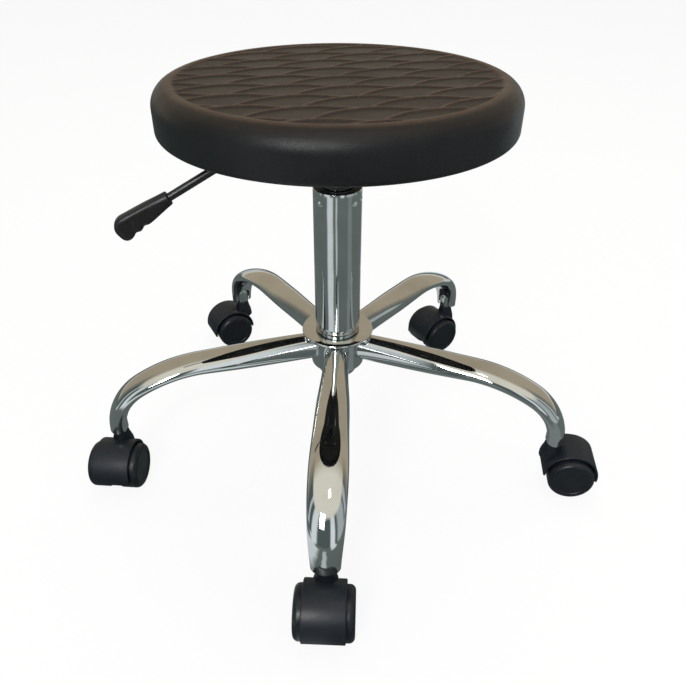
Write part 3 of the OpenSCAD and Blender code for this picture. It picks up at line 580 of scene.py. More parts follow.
SOCKET_DOME_Z = 75.4 * MM
WINDOW_HALF = 8 * MM
WINDOW_R = STEM_CIRCLE_R - 2 * MM
WINDOW_TOP_Z = 82.4 * MM
BEAD_R, BEAD_SIDES = 1.3 * MM, 12
BEAD_SWELL, BEAD_WOBBLE = 0.16, 0.08


def arm_at(s):
    """Radius, height and heading below level of the arm's centre line at distance s."""
    if s <= LEVEL_L:
        return ARM_ROOT_R + s, ARM_Z, 0.0
    if s <= LEVEL_L + LONG_L:
        a = (s - LEVEL_L) / LONG_R
        return BEND_START_R + LONG_R * math.sin(a), ARM_Z - LONG_R * (1 - math.cos(a)), a
    if s <= LEVEL_L + LONG_L + TIGHT_L:
        a = LONG_A + (s - LEVEL_L - LONG_L) / TIGHT_R
        return (BEND_START_R + LONG_RUN + TIGHT_R * (math.sin(a) - math.sin(LONG_A)),
                ARM_Z - LONG_DROP - TIGHT_R * (math.cos(LONG_A) - math.cos(a)), a)
    r, z, a = arm_at(LEVEL_L + LONG_L + TIGHT_L)
    past = s - LEVEL_L - LONG_L - TIGHT_L
    return r + past * math.cos(a), z - past * math.sin(a), a


def size_at(sizes, share):
    """A value on the smooth curve through equally spaced sizes."""
    n = len(sizes) - 1
    i = min(int(share * n), n - 1)
    f = share * n - i
    a, b, c, d = sizes[max(i - 1, 0)], sizes[i], sizes[i + 1], sizes[min(i + 2, n)]
    return b + f / 2 * (c - a + f * (2 * a - 5 * b + 4 * c - d + f * (3 * (b - c) + d - a)))


def arm_ring(s, inset):
    """A ring of the arm's skin in the (radius, side, height) frame."""
    r, z, a = arm_at(s)
    share = max(min(s / ARM_L, 1), 0)
    half_w, half_h = size_at(ARM_WIDTHS, share) / 2 - inset, size_at(ARM_DEPTHS, share) / 2 - inset
    ring = []
    for i in range(ARM_SIDES):
        t = 2 * math.pi * i / ARM_SIDES
        up = half_h * math.sin(t)
        ring.append((r + up * math.sin(a), half_w * math.cos(t), z + up * math.cos(a)))
    return ring


def at_hub(ring, radius):
    """A ring pushed along the arm onto the hub's round side."""
    return [(math.sqrt(radius ** 2 - y ** 2), y, z) for x, y, z in ring]


def at_height(ring, heading, height):
    """A ring pushed along the arm's heading to a level height."""
    return [(x + (z - height) / math.tan(heading), y, height) for x, y, z in ring]


def arm_skin(inset):
    """Rings of the arm's outer or inner skin, from the hub to the flat tip."""
    start, end = HUB_R - ARM_ROOT_R + 1.5 * MM, ARM_L - 1.2 * MM
    heading = LONG_A + TIGHT_A
    rings = [at_hub(arm_ring(0, inset), HUB_R)]
    rings += [arm_ring(start + (end - start) * i / ARM_RINGS, inset)
              for i in range(ARM_RINGS + 1)]
    if not inset:
        rings.append(at_height(arm_ring(ARM_L, inset), heading, TIP_Z + TIP_ROUND))
    rings.append(at_height(arm_ring(ARM_L, inset or TIP_ROUND), heading, TIP_Z))
    return rings


def arm_form():
    """One arm along +X: a bent, swaged tube with the window at its tip."""
    rings = arm_skin(0) + arm_skin(ARM_WALL)[::-1]
    points = [p for ring in rings for p in ring]
    tube = mesh_piece("arm_form", points, ring_faces(len(rings), ARM_SIDES, closed=True))
    low = TIP_Z - 4 * MM
    slot = [(-WINDOW_HALF, low), (WINDOW_HALF, low)] + arc((0, WINDOW_TOP_Z - WINDOW_HALF),
                                                           WINDOW_HALF, 0, 180, 24)
    window = slab("window", slot, WINDOW_R - 20 * MM, WINDOW_R, along="X")
    socket = lathe("socket", [(0.0001 * MM, low), (SOCKET_R, low)]
                   + arc((0, SOCKET_DOME_Z), SOCKET_R, 0, 89.9, 16), 72)
    socket.data.transform(Matrix.Translation((STEM_CIRCLE_R, 0, 0)))
    combine(tube, [window, socket], "DIFFERENCE")
    shade(tube, 30)
    return tube


def bead_form():
    """The weld bead where an arm meets the hub."""
    random.seed(7)
    mouth = at_hub(arm_ring(0, 0), HUB_R)
    rings = []
    for i, (x, y, z) in enumerate(mouth):
        out = Vector((0, y, z - ARM_Z)).normalized()
        wobble = random.uniform(-BEAD_WOBBLE, BEAD_WOBBLE)
        r = BEAD_R * (1 + BEAD_SWELL * math.sin(i * 1.9) + wobble)
        across = Vector((x, y, 0)).normalized()
        rings.append([Vector((x, y, z)) + r * (math.cos(t) * out + math.sin(t) * across)
                      for t in np.linspace(0, 2 * math.pi, BEAD_SIDES, endpoint=False)])
    return mesh_piece("bead_form", [p for ring in rings for p in ring],
                      ring_faces(len(rings), BEAD_SIDES, closed=True))


def base_arms():
    tube, bead = arm_form(), bead_form()
    for k in ARMS:
        turn = Matrix.Rotation(math.radians(-90 + 72 * (k - 1)), 4, "Z")
        dress(turned_copy(tube, f"arm_tube_{k}", turn), "base", BRIGHT_CHROME, "chrome",
              f"arm_{k}")
        dress(turned_copy(bead, f"weld_bead_{k}", turn), "base", BRIGHT_CHROME, "chrome")
    bpy.data.objects.remove(tube)
    bpy.data.objects.remove(bead)


# Column and hub

COLUMN_R = 25 * MM
COLUMN_WALL = 2 * MM
HUB_BASE_Z, HUB_TOP_Z = (corner.z for corner in sized("hub_sleeve")[:2])
COLUMN_BASE_Z, COLUMN_TOP_Z = (corner.z for corner in sized("column_tube")[:2])
COLUMN_FOOT_Z = HUB_TOP_Z + 8.7 * MM
COLUMN_LIP, FOOT_GROOVE = 0.8 * MM, 1.4 * MM
BOTTOM_LOW_Z, BOTTOM_TOP_Z = COLUMN_BASE_Z + 3 * MM, COLUMN_BASE_Z + 6 * MM
BOTTOM_HOLE_R = 4.3 * MM
TAPER_BASE_R, TAPER_TOP_R = 21 * MM, 22.2 * MM
DIMPLE_Z = COLUMN_TOP_Z - 10.5 * MM
DIMPLE_TURN, DIMPLE_HALF_TURN = 212, 16
DIMPLE_DEPTH, DIMPLE_SPREAD = 1.35 * MM, 2.0 * MM
DIMPLE_ZONE, DIMPLE_MARGIN = 6.5 * MM, 0.5 * MM
HUB_ROUND = 1.5 * MM
PLATE_BORE_R, PLATE_RIM_R, PLATE_ROUND = 22.25 * MM, 38.4 * MM, 1.6 * MM
# Radius of the plate's crown and its height over the hub, in millimetres
PLATE_CROWN = ((36.5, 2.12), (34.5, 2.52), (32.5, 2.85), (30, 3.09), (27.5, 3.18), (25, 3.2),
               (22.9, 3.2), (22.3, 2.9))


def taper(z):
    """Radius of the column's tapered end at a height."""
    share = (z - COLUMN_BASE_Z) / (COLUMN_FOOT_Z - COLUMN_BASE_Z)
    return TAPER_BASE_R + (TAPER_TOP_R - TAPER_BASE_R) * share


def column_shell():
    """The outer tube, with its rolled foot, rounded lip and crimp dimples."""
    neck = COLUMN_FOOT_Z - FOOT_GROOVE
    wall, lip = COLUMN_WALL, COLUMN_LIP
    outline = [(taper(COLUMN_BASE_Z) - wall, COLUMN_BASE_Z),
               (taper(COLUMN_BASE_Z) - 0.5 * MM, COLUMN_BASE_Z),
               (taper(COLUMN_BASE_Z), COLUMN_BASE_Z + 0.5 * MM), (taper(neck), neck),
               (taper(neck) - MM, neck), (taper(neck) - MM, COLUMN_FOOT_Z)]
    outline += arc((COLUMN_R - MM, COLUMN_FOOT_Z + MM), MM, -90, 0, 6)
    below, above = DIMPLE_Z - DIMPLE_ZONE, DIMPLE_Z + DIMPLE_ZONE
    outline += [(COLUMN_R, z) for z in np.linspace(COLUMN_FOOT_Z + 2 * MM, below - DIMPLE_MARGIN, 12)]
    outline += [(COLUMN_R, z) for z in np.linspace(below, above, 27)]
    outline += arc((COLUMN_R - lip, COLUMN_TOP_Z - lip), lip, 0, 90, 6)
    outline += [(COLUMN_R - wall, COLUMN_TOP_Z), (COLUMN_R - wall, COLUMN_FOOT_Z + wall),
                (taper(COLUMN_FOOT_Z) - wall, COLUMN_FOOT_Z),
                (taper(COLUMN_BASE_Z) - wall, BOTTOM_TOP_Z), (BOTTOM_HOLE_R, BOTTOM_TOP_Z),
                (BOTTOM_HOLE_R, BOTTOM_LOW_Z), (taper(COLUMN_BASE_Z) - wall, BOTTOM_LOW_Z)]
    piece = lathe("column_shell", outline, 288)
    for point in piece.data.vertices:
        r = math.hypot(point.co.x, point.co.y)
        if r < COLUMN_R - 0.1 * MM or abs(point.co.z - DIMPLE_Z) > DIMPLE_ZONE + 0.1 * MM:
            continue
        azimuth = math.degrees(math.atan2(point.co.y, point.co.x))
        sunk = 0.0
        for g in range(3):
            for s in (-1, 1):
                off = (azimuth - DIMPLE_TURN - 120 * g - s * DIMPLE_HALF_TURN + 180) % 360 - 180
                gap = math.hypot(math.radians(off) * r, point.co.z - DIMPLE_Z)
                sunk += DIMPLE_DEPTH * math.exp(-(gap / DIMPLE_SPREAD) ** 2)
        point.co.x *= 1 - sunk / r
        point.co.y *= 1 - sunk / r
    shade(piece, 40)
    dress(piece, "base", BRIGHT_CHROME, "chrome", "column_tube")


def hub():
    """The sleeve that the arms are welded to, and the dished plate over it."""
    bore = TAPER_BASE_R + 0.9 * MM
    sleeve = lathe("hub_barrel", [(bore, HUB_BASE_Z)]
                   + arc((HUB_R - HUB_ROUND, HUB_BASE_Z + HUB_ROUND), HUB_ROUND, -90, 0, 6)
                   + [(HUB_R, HUB_TOP_Z - 0.01 * MM), (bore + 0.3 * MM, HUB_TOP_Z - 0.01 * MM)],
                   160)
    dress(sleeve, "base", BRIGHT_CHROME, "chrome", "hub_sleeve")
    under = [(PLATE_BORE_R, HUB_TOP_Z), (HUB_R, HUB_TOP_Z)]
    rim = arc((PLATE_RIM_R, HUB_TOP_Z + 0.1 * MM), PLATE_ROUND, -90, 78, 12)
    crown = [(r * MM, HUB_TOP_Z + z * MM) for r, z in PLATE_CROWN]
    cover = lathe("hub_cover", under + rim + crown, 160)
    dress(cover, "base", BRIGHT_CHROME, "chrome", "hub_plate")


# Casters

AXLE_Z = 25 * MM
TRAIL = -sized("caster_axle_1")[2].y - STEM_CIRCLE_R
HOOD_MID_R, HOOD_HALF_T, HOOD_HALF_W = 28.15 * MM, 1.35 * MM, 20 * MM
HOOD_ROUND = 1.15 * MM
SKIRT_FRONT_Z, SKIRT_BACK_Z = 24 * MM, 21 * MM
WEB_HALF = 6.5 * MM
BOSS_R = 7.5 * MM
NECK_TOP_Z = 60.2 * MM
# Radius and height of the neck's flank in millimetres, from inside the arch upwards
NECK_FLANK = ((12.2, 38), (11.6, 44), (10.4, 48.5), (9.2, 52.5), (8.4, 56.5), (8.0, 59.2))
STEM_BORE_R = 5.55 * MM
STEM_BASE_Z = 41.7 * MM
AXLE_BORE_R = 3.02 * MM
WHEEL_R, WHEEL_IN, WHEEL_OUT = 25 * MM, 6.9 * MM, 28 * MM
WHEEL_HUB_R, WHEEL_PAN_R = 6.5 * MM, 21 * MM
WHEEL_WEB, WHEEL_ROUND = 5 * MM, 5.4 * MM
WHEEL_BORE_R, WHEEL_BORE_END = 3.05 * MM, 25.3 * MM
# Radius of the outer face's points and how deep they lie, in millimetres
FACE_POINTS = ((19, 0.02), (18.5, 0), (18, 0.1), (17.6, 0.45), (17.2, 0.85), (16.5, 1), (12, 0.85),
               (6, 0.7), (0.001, 0.65))
# Stands for a radius of nothing, so that a turned outline closes on its axis
AXIS_R = 0.001 * MM


def hood_point(y, t, angle):
    """A point of the hood's arch, t out from its middle radius, angle up from the trail."""
    r = HOOD_MID_R + t
    return TRAIL + r * math.cos(angle), y, AXLE_Z + r * math.sin(angle)


def hood_arch():
    back = math.asin((SKIRT_BACK_Z - AXLE_Z) / HOOD_MID_R)
    front = math.pi - math.asin((SKIRT_FRONT_Z - AXLE_Z) / HOOD_MID_R)
    ends = [(HOOD_ROUND * (1 - math.sin(a)), HOOD_ROUND * (1 - math.cos(a)))
            for a in (math.radians(82), math.radians(60), math.radians(30))]
    stops = [(back + along / HOOD_MID_R, inset) for along, inset in ends]
    stops += [(back + (front - back) * i / 64, 0.0) for i in range(2, 63)]
    stops += [(front - along / HOOD_MID_R, inset) for along, inset in reversed(ends)]
    rings = []
    for angle, inset in stops:
        outline = rounded_box(HOOD_HALF_W - inset, HOOD_HALF_T - inset,
                              HOOD_ROUND - min(inset, 0.9 * HOOD_ROUND))
        rings.append([hood_point(y, t, angle) for y, t in outline])
    return lofted("hood_arch", rings)


def hood_web():
    """The plate between the wheels, under the arch."""
    r = HOOD_MID_R + 0.2 * MM
    back = math.degrees(math.asin((SKIRT_BACK_Z + MM - AXLE_Z) / r))
    front = 180 - math.degrees(math.asin((SKIRT_FRONT_Z + MM - AXLE_Z) / r))
    return slab("hood_web", arc((TRAIL, AXLE_Z), r, back, front, 60), -WEB_HALF, WEB_HALF)


def rod(name, radius, low, high, centre, sides=48):
    """A plain round bar along Y, used only to cut and to join."""
    outline = arc(centre, radius, 0, 360 - 360 / sides, sides - 1)
    return slab(name, outline, low, high)


def hood_form():
    arch = hood_arch()
    flank = [(r * MM, z * MM) for r, z in NECK_FLANK]
    neck = lathe("hood_neck", [(AXIS_R, flank[0][1])] + flank
                 + [(7.5 * MM, NECK_TOP_Z - 0.1 * MM), (7.0 * MM, NECK_TOP_Z),
                    (AXIS_R, NECK_TOP_Z)], 64)
    boss = rod("hood_boss", BOSS_R, -WEB_HALF - 0.02 * MM, WEB_HALF + 0.02 * MM, (TRAIL, AXLE_Z))
    combine(arch, [hood_web(), boss, neck], "UNION")
    stem = lathe("stem_bore", [(AXIS_R, STEM_BASE_Z), (STEM_BORE_R, STEM_BASE_Z),
                               (STEM_BORE_R, NECK_TOP_Z + MM), (AXIS_R, NECK_TOP_Z + MM)], 48)
    axle = rod("axle_bore", AXLE_BORE_R, -HOOD_HALF_W, HOOD_HALF_W, (TRAIL, AXLE_Z))
    bays = [slab("wheel_bay", arc((TRAIL, AXLE_Z), HOOD_MID_R - HOOD_HALF_T, 0, 357, 119),
                 side * WEB_HALF, side * 2 * HOOD_HALF_W) for side in (-1, 1)]
    combine(arch, [stem, axle] + bays, "DIFFERENCE")
    shade(arch, 38)
    return arch


def wheel_form():
    """A wheel about +Z, from its inner face at WHEEL_IN to its outer face."""
    low, out, r = WHEEL_IN, WHEEL_OUT, WHEEL_R
    outline = [(WHEEL_BORE_R, low), (WHEEL_HUB_R, low), (WHEEL_HUB_R, out - WHEEL_WEB),
               (WHEEL_PAN_R, out - WHEEL_WEB), (WHEEL_PAN_R, low + 0.4 * MM),
               (WHEEL_PAN_R + 0.4 * MM, low), (r - 0.8 * MM, low),
               (r - 0.2 * MM, low + 0.3 * MM), (r, low + 1.2 * MM)]
    outline += [(r, z * MM) for z in (12, 16, 20)]
    outline += arc((r - WHEEL_ROUND, out - WHEEL_ROUND), WHEEL_ROUND, 0, 80, 12)
    outline += [(at * MM, out - deep * MM) for at, deep in FACE_POINTS]
    outline += [(AXIS_R, WHEEL_BORE_END), (WHEEL_BORE_R, WHEEL_BORE_END)]
    return lathe("wheel_form", outline, 96, 32)


def caster_place(k):
    """The frame of a caster: +X along its trail, origin on the floor under its stem."""
    stem, axle = sized(f"caster_stem_{k}")[2], sized(f"caster_axle_{k}")[2]
    turn = math.atan2(axle.y - stem.y, axle.x - stem.x)
    return Matrix.Translation((stem.x, stem.y, 0)) @ Matrix.Rotation(turn, 4, "Z")


def casters():
    hood, wheel = hood_form(), wheel_form()
    for k in ARMS:
        place = caster_place(k)
        dress(turned_copy(hood, f"hood_shell_{k}", place), f"caster_{k}", HOOD_NYLON,
              "black_nylon", f"caster_hood_{k}")
        for side, turn in zip(SIDES, (90, -90)):
            seat = place @ Matrix.Translation((TRAIL, 0, AXLE_Z)) @ Matrix.Rotation(
                math.radians(turn), 4, "X")
            dress(turned_copy(wheel, f"{side}_roller_{k}", seat), f"{side}_wheel_{k}",
                  WHEEL_NYLON, "black_nylon", f"wheel_{side}_{k}")
    bpy.data.objects.remove(hood)
    bpy.data.objects.remove(wheel)


# Lever

LEVER_Z = sized("lever_pin")[2].z
LEVER_R = 4 * MM
LEVER_BACK, LEVER_CHAMFER = 1.5 * MM, 0.6 * MM
PIN_HOLE_R = 2.25 * MM
LEVER_BEND = math.radians(27)
LEVEL_REACH = 80 * MM
SLOPE_REACH = 94 * MM
IN_GRIP = 34 * MM
KNEE_R = 16 * MM
GRIP_L = 61 * MM
GRIP_ROOT_R = 6.75 * MM
GRIP_LOW, GRIP_HIGH = -14.6 * MM, 9.35 * MM
NOSE_R, TOE_R = 12.9 * MM, 6.9 * MM
TOE_X = GRIP_L - TOE_R - 1.4 * MM
GRIP_HALF_W = 7.45 * MM
END_ROUND = 6.5 * MM
NOTCHES = (34.2 * MM, 44.7 * MM)
NOTCH_DEPTH, NOTCH_SPREAD = 1.9 * MM, 3.3 * MM
SQUARENESS, SQUARE_BY = 0.42, 26 * MM
END_RUN = 9 * MM


def lever_turn():
    """The azimuth of the lever, from its pin's place."""
    pin = sized("lever_pin")[2]
    return Matrix.Rotation(math.atan2(pin.y, pin.x), 4, "Z")


def lever_bar():
    """A round bar, level to its knee and then sloping down."""
    tangent = KNEE_R * math.tan(LEVER_BEND / 2)
    path = [(-LEVER_BACK, 0.0, 0.0), (0.5 * MM - LEVER_BACK, 0.0, 0.0)]
    path += [(x, 0.0, 0.0) for x in np.linspace(2 * MM, LEVEL_REACH - tangent, 10)]
    for a in np.linspace(0, LEVER_BEND, 13)[1:]:
        path.append((LEVEL_REACH - tangent + KNEE_R * math.sin(a),
                     -KNEE_R * (1 - math.cos(a)), a))
    for s in np.linspace(tangent + 2 * MM, SLOPE_REACH + IN_GRIP, 12):
        path.append((LEVEL_REACH + s * math.cos(LEVER_BEND), -s * math.sin(LEVER_BEND),
                     LEVER_BEND))
    rings = []
    for i, (x, z, a) in enumerate(path):
        r = LEVER_R - (LEVER_CHAMFER if i == 0 else 0)
        rings.append([(x + r * math.sin(t) * math.sin(a), r * math.cos(t),
                       LEVER_Z + z + r * math.sin(t) * math.cos(a))
                      for t in np.linspace(0, 2 * math.pi, 32, endpoint=False)])
    piece = lofted("lever_bar", rings)
    pin_x = math.hypot(*sized("lever_pin")[2].xy)
    hole = rod("pin_hole", PIN_HOLE_R, -2 * LEVER_R, 2 * LEVER_R, (pin_x, LEVER_Z), 32)
    combine(piece, [hole], "DIFFERENCE")
    shade(piece, 35)
    piece.data.transform(lever_turn())
    dress(piece, "lever", BLACK_STEEL, "black_steel", "lever_rod")


def grip_edges(x):
    """Upper and lower edge of the grip's side outline at distance x along it."""
    nose_x, nose_z = GRIP_L - NOSE_R, GRIP_HIGH - NOSE_R
    high = GRIP_ROOT_R + (GRIP_HIGH - GRIP_ROOT_R) * min(x / nose_x, 1)
    low = -GRIP_ROOT_R + (GRIP_LOW + GRIP_ROOT_R) * min(x / TOE_X, 1)
    if x > nose_x:
        high = nose_z + math.sqrt(max(NOSE_R ** 2 - (x - nose_x) ** 2, 0))
    if x > TOE_X:
        past = min((x - TOE_X) / TOE_R, 1)
        toe_end = TOE_X + TOE_R
        low = GRIP_LOW + TOE_R * (1 - math.sqrt(1 - past ** 2))
        if x > toe_end:
            low += (nose_z - GRIP_LOW - TOE_R) * (x - toe_end) / (GRIP_L - toe_end)
    for notch in NOTCHES:
        low += NOTCH_DEPTH * math.exp(-((x - notch) / NOTCH_SPREAD) ** 2)
    return high, min(low, high)


def grip_half_width(x):
    wide = GRIP_ROOT_R + (GRIP_HALF_W - GRIP_ROOT_R) * min(x / (20 * MM), 1)
    past = max(x - GRIP_L + END_ROUND, 0) / END_ROUND
    return wide * math.sqrt(max(1 - past ** 2, 1e-4))


def lever_handle():
    """The moulded grip: round at its root, then a deep paddle with two finger notches below."""
    rounded = 0.9 * MM
    stops = [0.0, 0.25 * MM, rounded] + list(np.linspace(2 * MM, GRIP_L - END_RUN, 70))
    stops += [GRIP_L - END_RUN * (1 - math.sin(a)) for a in np.linspace(0.08, math.pi / 2, 16)]
    rings = []
    for x in stops:
        high, low = grip_edges(x)
        inset = rounded * (1 - math.sqrt(1 - (1 - min(x / rounded, 1)) ** 2))
        middle, half, wide = (high + low) / 2, (high - low) / 2 - inset, grip_half_width(x) - inset
        square = 1 - SQUARENESS * float(smooth_step(0, SQUARE_BY, x))
        rings.append([(x, wide * math.copysign(abs(math.cos(a)) ** square, math.cos(a)),
                       middle + half * math.copysign(abs(math.sin(a)) ** square, math.sin(a)))
                      for a in np.linspace(0, 2 * math.pi, 48, endpoint=False)])
    piece = lofted("lever_handle", rings, 50)
    slope = (lever_turn() @ Matrix.Translation((LEVEL_REACH, 0, LEVER_Z))
             @ Matrix.Rotation(LEVER_BEND, 4, "Y") @ Matrix.Translation((SLOPE_REACH, 0, 0)))
    piece.data.transform(slope)
    dress(piece, "lever", GRIP_PLASTIC, "grip_plastic", "lever_grip")


def coat_kept_nodes():
    """Finishes of the CAD nodes that keep their own mesh."""
    coat(BRIGHT_CHROME, "pressure_tube", *[f"stem_socket_{k}" for k in ARMS])
    coat(ZINC_STEEL, "grip_rings", "lower_race", "bearing_balls", "upper_race", "piston_rod",
         "retaining_clip", "release_pin", "lever_pin", "seat_screws",
         *[f"caster_{part}_{k}" for k in ARMS for part in ("stem", "axle")])
    coat(BLACK_STEEL, "taper_socket", "seat_plate")
    coat(HOOD_NYLON, "guide_bush", "rod_gland")
    coat(BRASS, "ball_cage", "piston", "valve_body")
    coat(RUBBER, "rubber_buffer")
    coat(PLYWOOD, "seat_board")


# Camera, floor and light

VIEW_TURN = math.radians(2.41)
VIEW_RISE = math.radians(34.57)
VIEW_DISTANCE = 763.89 * MM
VIEW_TARGET = Vector((0, 0, 130.82 * MM))
PHOTO_WIDTH = 686
PHOTO_FOCUS = 659.72
PHOTO_CENTRE_X = 337.6
SENSOR = 36.0


def photo_camera():
    data = bpy.data.cameras.new("photo_camera")
    data.sensor_fit = "HORIZONTAL"
    data.sensor_width = SENSOR
    data.lens = SENSOR * PHOTO_FOCUS / PHOTO_WIDTH
    data.shift_x = (PHOTO_WIDTH / 2 - PHOTO_CENTRE_X) / PHOTO_WIDTH
    data.clip_end = 50
    camera = bpy.data.objects.new("photo_camera", data)
    bpy.context.scene.collection.objects.link(camera)
    level = VIEW_DISTANCE * math.cos(VIEW_RISE)
    camera.location = VIEW_TARGET + Vector((level * math.sin(VIEW_TURN),
                                            -level * math.cos(VIEW_TURN),
                                            VIEW_DISTANCE * math.sin(VIEW_RISE)))
    camera.rotation_euler = (VIEW_TARGET - camera.location).to_track_quat("-Z", "Y").to_euler()
    bpy.context.scene.camera = camera


FLOOR_HALF = 12.0
FLOOR_TONE = (0.84, 0.85, 0.84, 1)
# How much of the floor is plain glow: to the camera, and to metal
FLOOR_VEIL, MIRROR_VEIL = 0.9, 0.94
# Where the floor's near panels end and its far ones begin, and how far their edges wander
NEAR_END, FAR_START = 0.8, 1.1
WANDER = 0.09
# What bright metal sees: the dark and light of the surround, and the tones of the sky over it
SHADE, GLARE = "586463", "eff6fa"
CREAM, BEIGE, PALE = "efebdc", "b5a994", "e8e6de"
# Light panels round the stool: azimuth of the middle and half width in degrees, brightness
NEAR_PANELS = ((-122, 17, 0.85), (-93, 5, 0.6), (-28, 13, 0.12), (72, 13, 0.6))
FAR_PANELS = ((-170, 6, 0.6), (-136, 17, 0.95), (-66, 11, 1.0), (-28, 24, 0.5), (2, 6, 0.55),
              (48, 13, 0.7), (110, 11, 0.55))
# Share of a panel's half width that is fully bright
PANEL_CORE = 0.55


def toned(tree, value, stops, start, end):
    """A colour ramp through (value, colour) stops that run from start to end."""
    ramp = add(tree, "ShaderNodeValToRGB", {0: ranged(tree, value, 0.0, 1.0, start, end)})
    elements = ramp.color_ramp.elements
    elements[0].color, elements[1].color = stops[0][1], stops[-1][1]
    for at, colour in stops[1:-1]:
        elements.new((at - start) / (end - start)).color = colour
    return ramp.outputs["Color"]


def panelled(tree, x, y, panels):
    """The tones of light panels round the column, by the azimuth of a place or direction."""
    azimuth = reckon(tree, "MULTIPLY", reckon(tree, "ARCTAN2", y, x), 180 / math.pi)
    stops = [(-180, (0, 0, 0, 1))]
    for middle, half, bright in panels:
        for along, share in ((-half, 0), (-half * PANEL_CORE, bright), (half * PANEL_CORE, bright),
                             (half, 0)):
            stops.append((middle + along, (share, share, share, 1)))
    stops.append((180, (0, 0, 0, 1)))
    return blended(tree, toned(tree, azimuth, stops, -180, 180), linear(SHADE), linear(GLARE))


def white_or(tree, tone):
    """A colour, white to the camera and a tone to mirrored rays, with masks of these and of both."""
    path = add(tree, "ShaderNodeLightPath").outputs
    mirrored = reckon(tree, "MAXIMUM", path["Is Glossy Ray"], path["Is Transmission Ray"])
    seen = reckon(tree, "MAXIMUM", path["Is Camera Ray"], mirrored)
    return blended(tree, mirrored, (1, 1, 1, 1), tone), mirrored, seen


def floor():
    """A pale floor that keeps the stool's soft shadow, with the tones that metal picks up."""
    corners = [(x * FLOOR_HALF, y * FLOOR_HALF, 0) for x, y in ((-1, -1), (1, -1), (1, 1), (-1, 1))]
    piece = mesh_piece("floor", corners, [(0, 1, 2, 3)])
    material, tree, surface = new_material("pale_floor", Roughness=0.9)
    surface["Base Color"].default_value = FLOOR_TONE
    surface["Specular IOR Level"].default_value = 0.0
    output = next(n for n in tree.nodes if n.bl_idname == "ShaderNodeOutputMaterial")
    lit = output.inputs["Surface"].links[0].from_socket
    drift = add(tree, "ShaderNodeTexNoise", {"Vector": own_place(tree), "Scale": 5.0})
    shifted = add(tree, "ShaderNodeVectorMath", {0: drift.outputs["Color"], 1: (0.5, 0.5, 0.5)},
                  operation="SUBTRACT")
    wandered = add(tree, "ShaderNodeVectorMath", {0: shifted.outputs[0], 1: (WANDER,) * 3,
                                                  2: own_place(tree)}, operation="MULTIPLY_ADD")
    spot = add(tree, "ShaderNodeSeparateXYZ", {0: wandered.outputs[0]}).outputs
    reach = add(tree, "ShaderNodeVectorMath", {0: own_place(tree)}, operation="LENGTH").outputs[1]
    tone = blended(tree, ranged(tree, reach, 0.0, 1.0, NEAR_END, FAR_START),
                   panelled(tree, spot["X"], spot["Y"], NEAR_PANELS),
                   panelled(tree, spot["X"], spot["Y"], FAR_PANELS))
    shown, mirrored, seen = white_or(tree, tone)
    glow = add(tree, "ShaderNodeEmission", {"Color": shown, "Strength": 1.0}).outputs[0]
    veil = reckon(tree, "MULTIPLY", seen, ranged(tree, mirrored, FLOOR_VEIL, MIRROR_VEIL))
    mixed = add(tree, "ShaderNodeMixShader", {0: veil, 1: lit, 2: glow}).outputs[0]
    tree.links.new(mixed, output.inputs["Surface"])
    piece.data.materials.append(material)


def soft_light(name, place, aim, size, power, colour, mirrored):
    data = bpy.data.lights.new(name, "AREA")
    data.shape = "RECTANGLE"
    data.size, data.size_y = size
    data.energy = power
    data.color = colour
    lamp = bpy.data.objects.new(name, data)
    bpy.context.scene.collection.objects.link(lamp)
    lamp.location = place
    lamp.rotation_euler = (Vector(aim) - Vector(place)).to_track_quat("-Z", "Y").to_euler()
    lamp.visible_glossy = mirrored


# The sky's tones from the front horizon, over the zenith, to the back horizon in degrees
SKY_STOPS = ((0, CREAM), (94, CREAM), (108, BEIGE), (172, BEIGE), (180, PALE))
# The panels fade out upwards and backwards, between these parts of a direction
PANEL_RISE, PANEL_BACK = (0.66, 0.74), (0.1, 0.4)
# The room's own light on everything that doesn't mirror it
FILL_TONE, FILL_POWER = (1.0, 0.985, 0.96, 1), 0.5
WHITE, WARM = (1, 1, 1), (1.0, 0.93, 0.86)
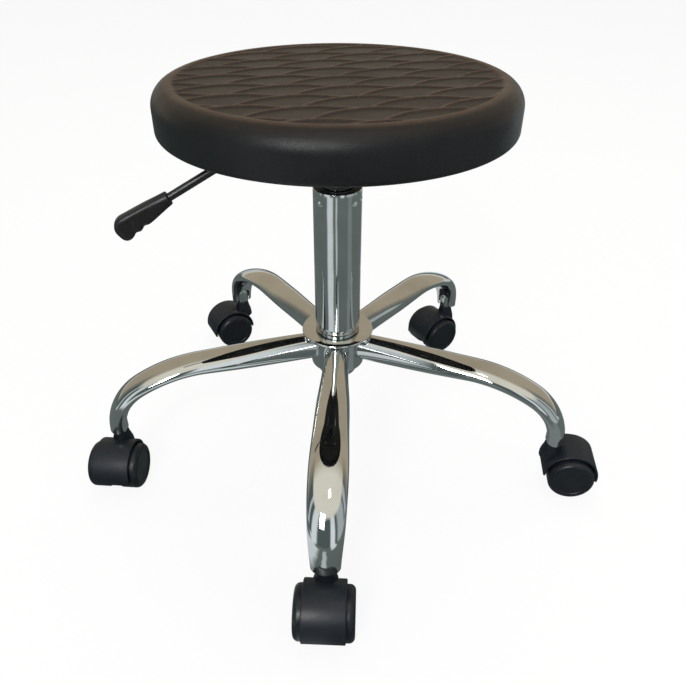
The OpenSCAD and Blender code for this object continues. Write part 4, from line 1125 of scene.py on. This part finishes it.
# Name, place, aim, size, power and colour of each lamp, and whether metal mirrors it
LAMPS = (("key", (-0.55, -2.0, 1.6), (0, 0, 0.3), (0.6, 1.0), 34, WHITE, True),
         ("glint", (0.2, -0.62, 2.4), (0, 0, 0.1), (0.22, 0.26), 1.5, WHITE, True),
         ("fill", (1.9, -1.0, 1.3), (0, 0, 0.2), (1.0, 1.4), 9, WHITE, False),
         ("top", (0.2, 0.9, 2.3), (0, 0, 0.2), (1.4, 1.4), 26, WARM, False))


def room_light():
    """A white surround, a beige room for the metal to reflect, and soft lamps."""
    bpy.context.scene.view_settings.view_transform = "Standard"
    world = bpy.data.worlds.new("room")
    bpy.context.scene.world = world
    world.use_nodes = True
    tree = world.node_tree
    tree.nodes.clear()
    ahead = add(tree, "ShaderNodeTexCoord").outputs["Generated"]
    way = add(tree, "ShaderNodeSeparateXYZ", {0: ahead}).outputs
    front = reckon(tree, "MULTIPLY", way["Y"], -1.0)
    over = reckon(tree, "MULTIPLY", reckon(tree, "ARCTAN2", way["Z"], front), 180 / math.pi)
    sky = toned(tree, over, [(at, linear(code)) for at, code in SKY_STOPS], 0, 180)
    low = reckon(tree, "MULTIPLY", ranged(tree, way["Z"], 1.0, 0.0, *PANEL_RISE),
                 ranged(tree, way["Y"], 1.0, 0.0, *PANEL_BACK))
    tone = blended(tree, low, sky, panelled(tree, way["X"], way["Y"], FAR_PANELS))
    shown, _, seen = white_or(tree, tone)
    view = add(tree, "ShaderNodeBackground", {"Color": shown, "Strength": 1.0})
    fill = add(tree, "ShaderNodeBackground", {"Color": FILL_TONE, "Strength": FILL_POWER})
    mixed = add(tree, "ShaderNodeMixShader", {0: seen, 1: fill.outputs[0], 2: view.outputs[0]})
    add(tree, "ShaderNodeOutputWorld", {"Surface": mixed.outputs[0]})
    for lamp in LAMPS:
        soft_light(*lamp)


photo_camera()
coat_kept_nodes()
seat_cushion()
base_arms()
column_shell()
hub()
casters()
lever_bar()
lever_handle()
floor()
room_light()
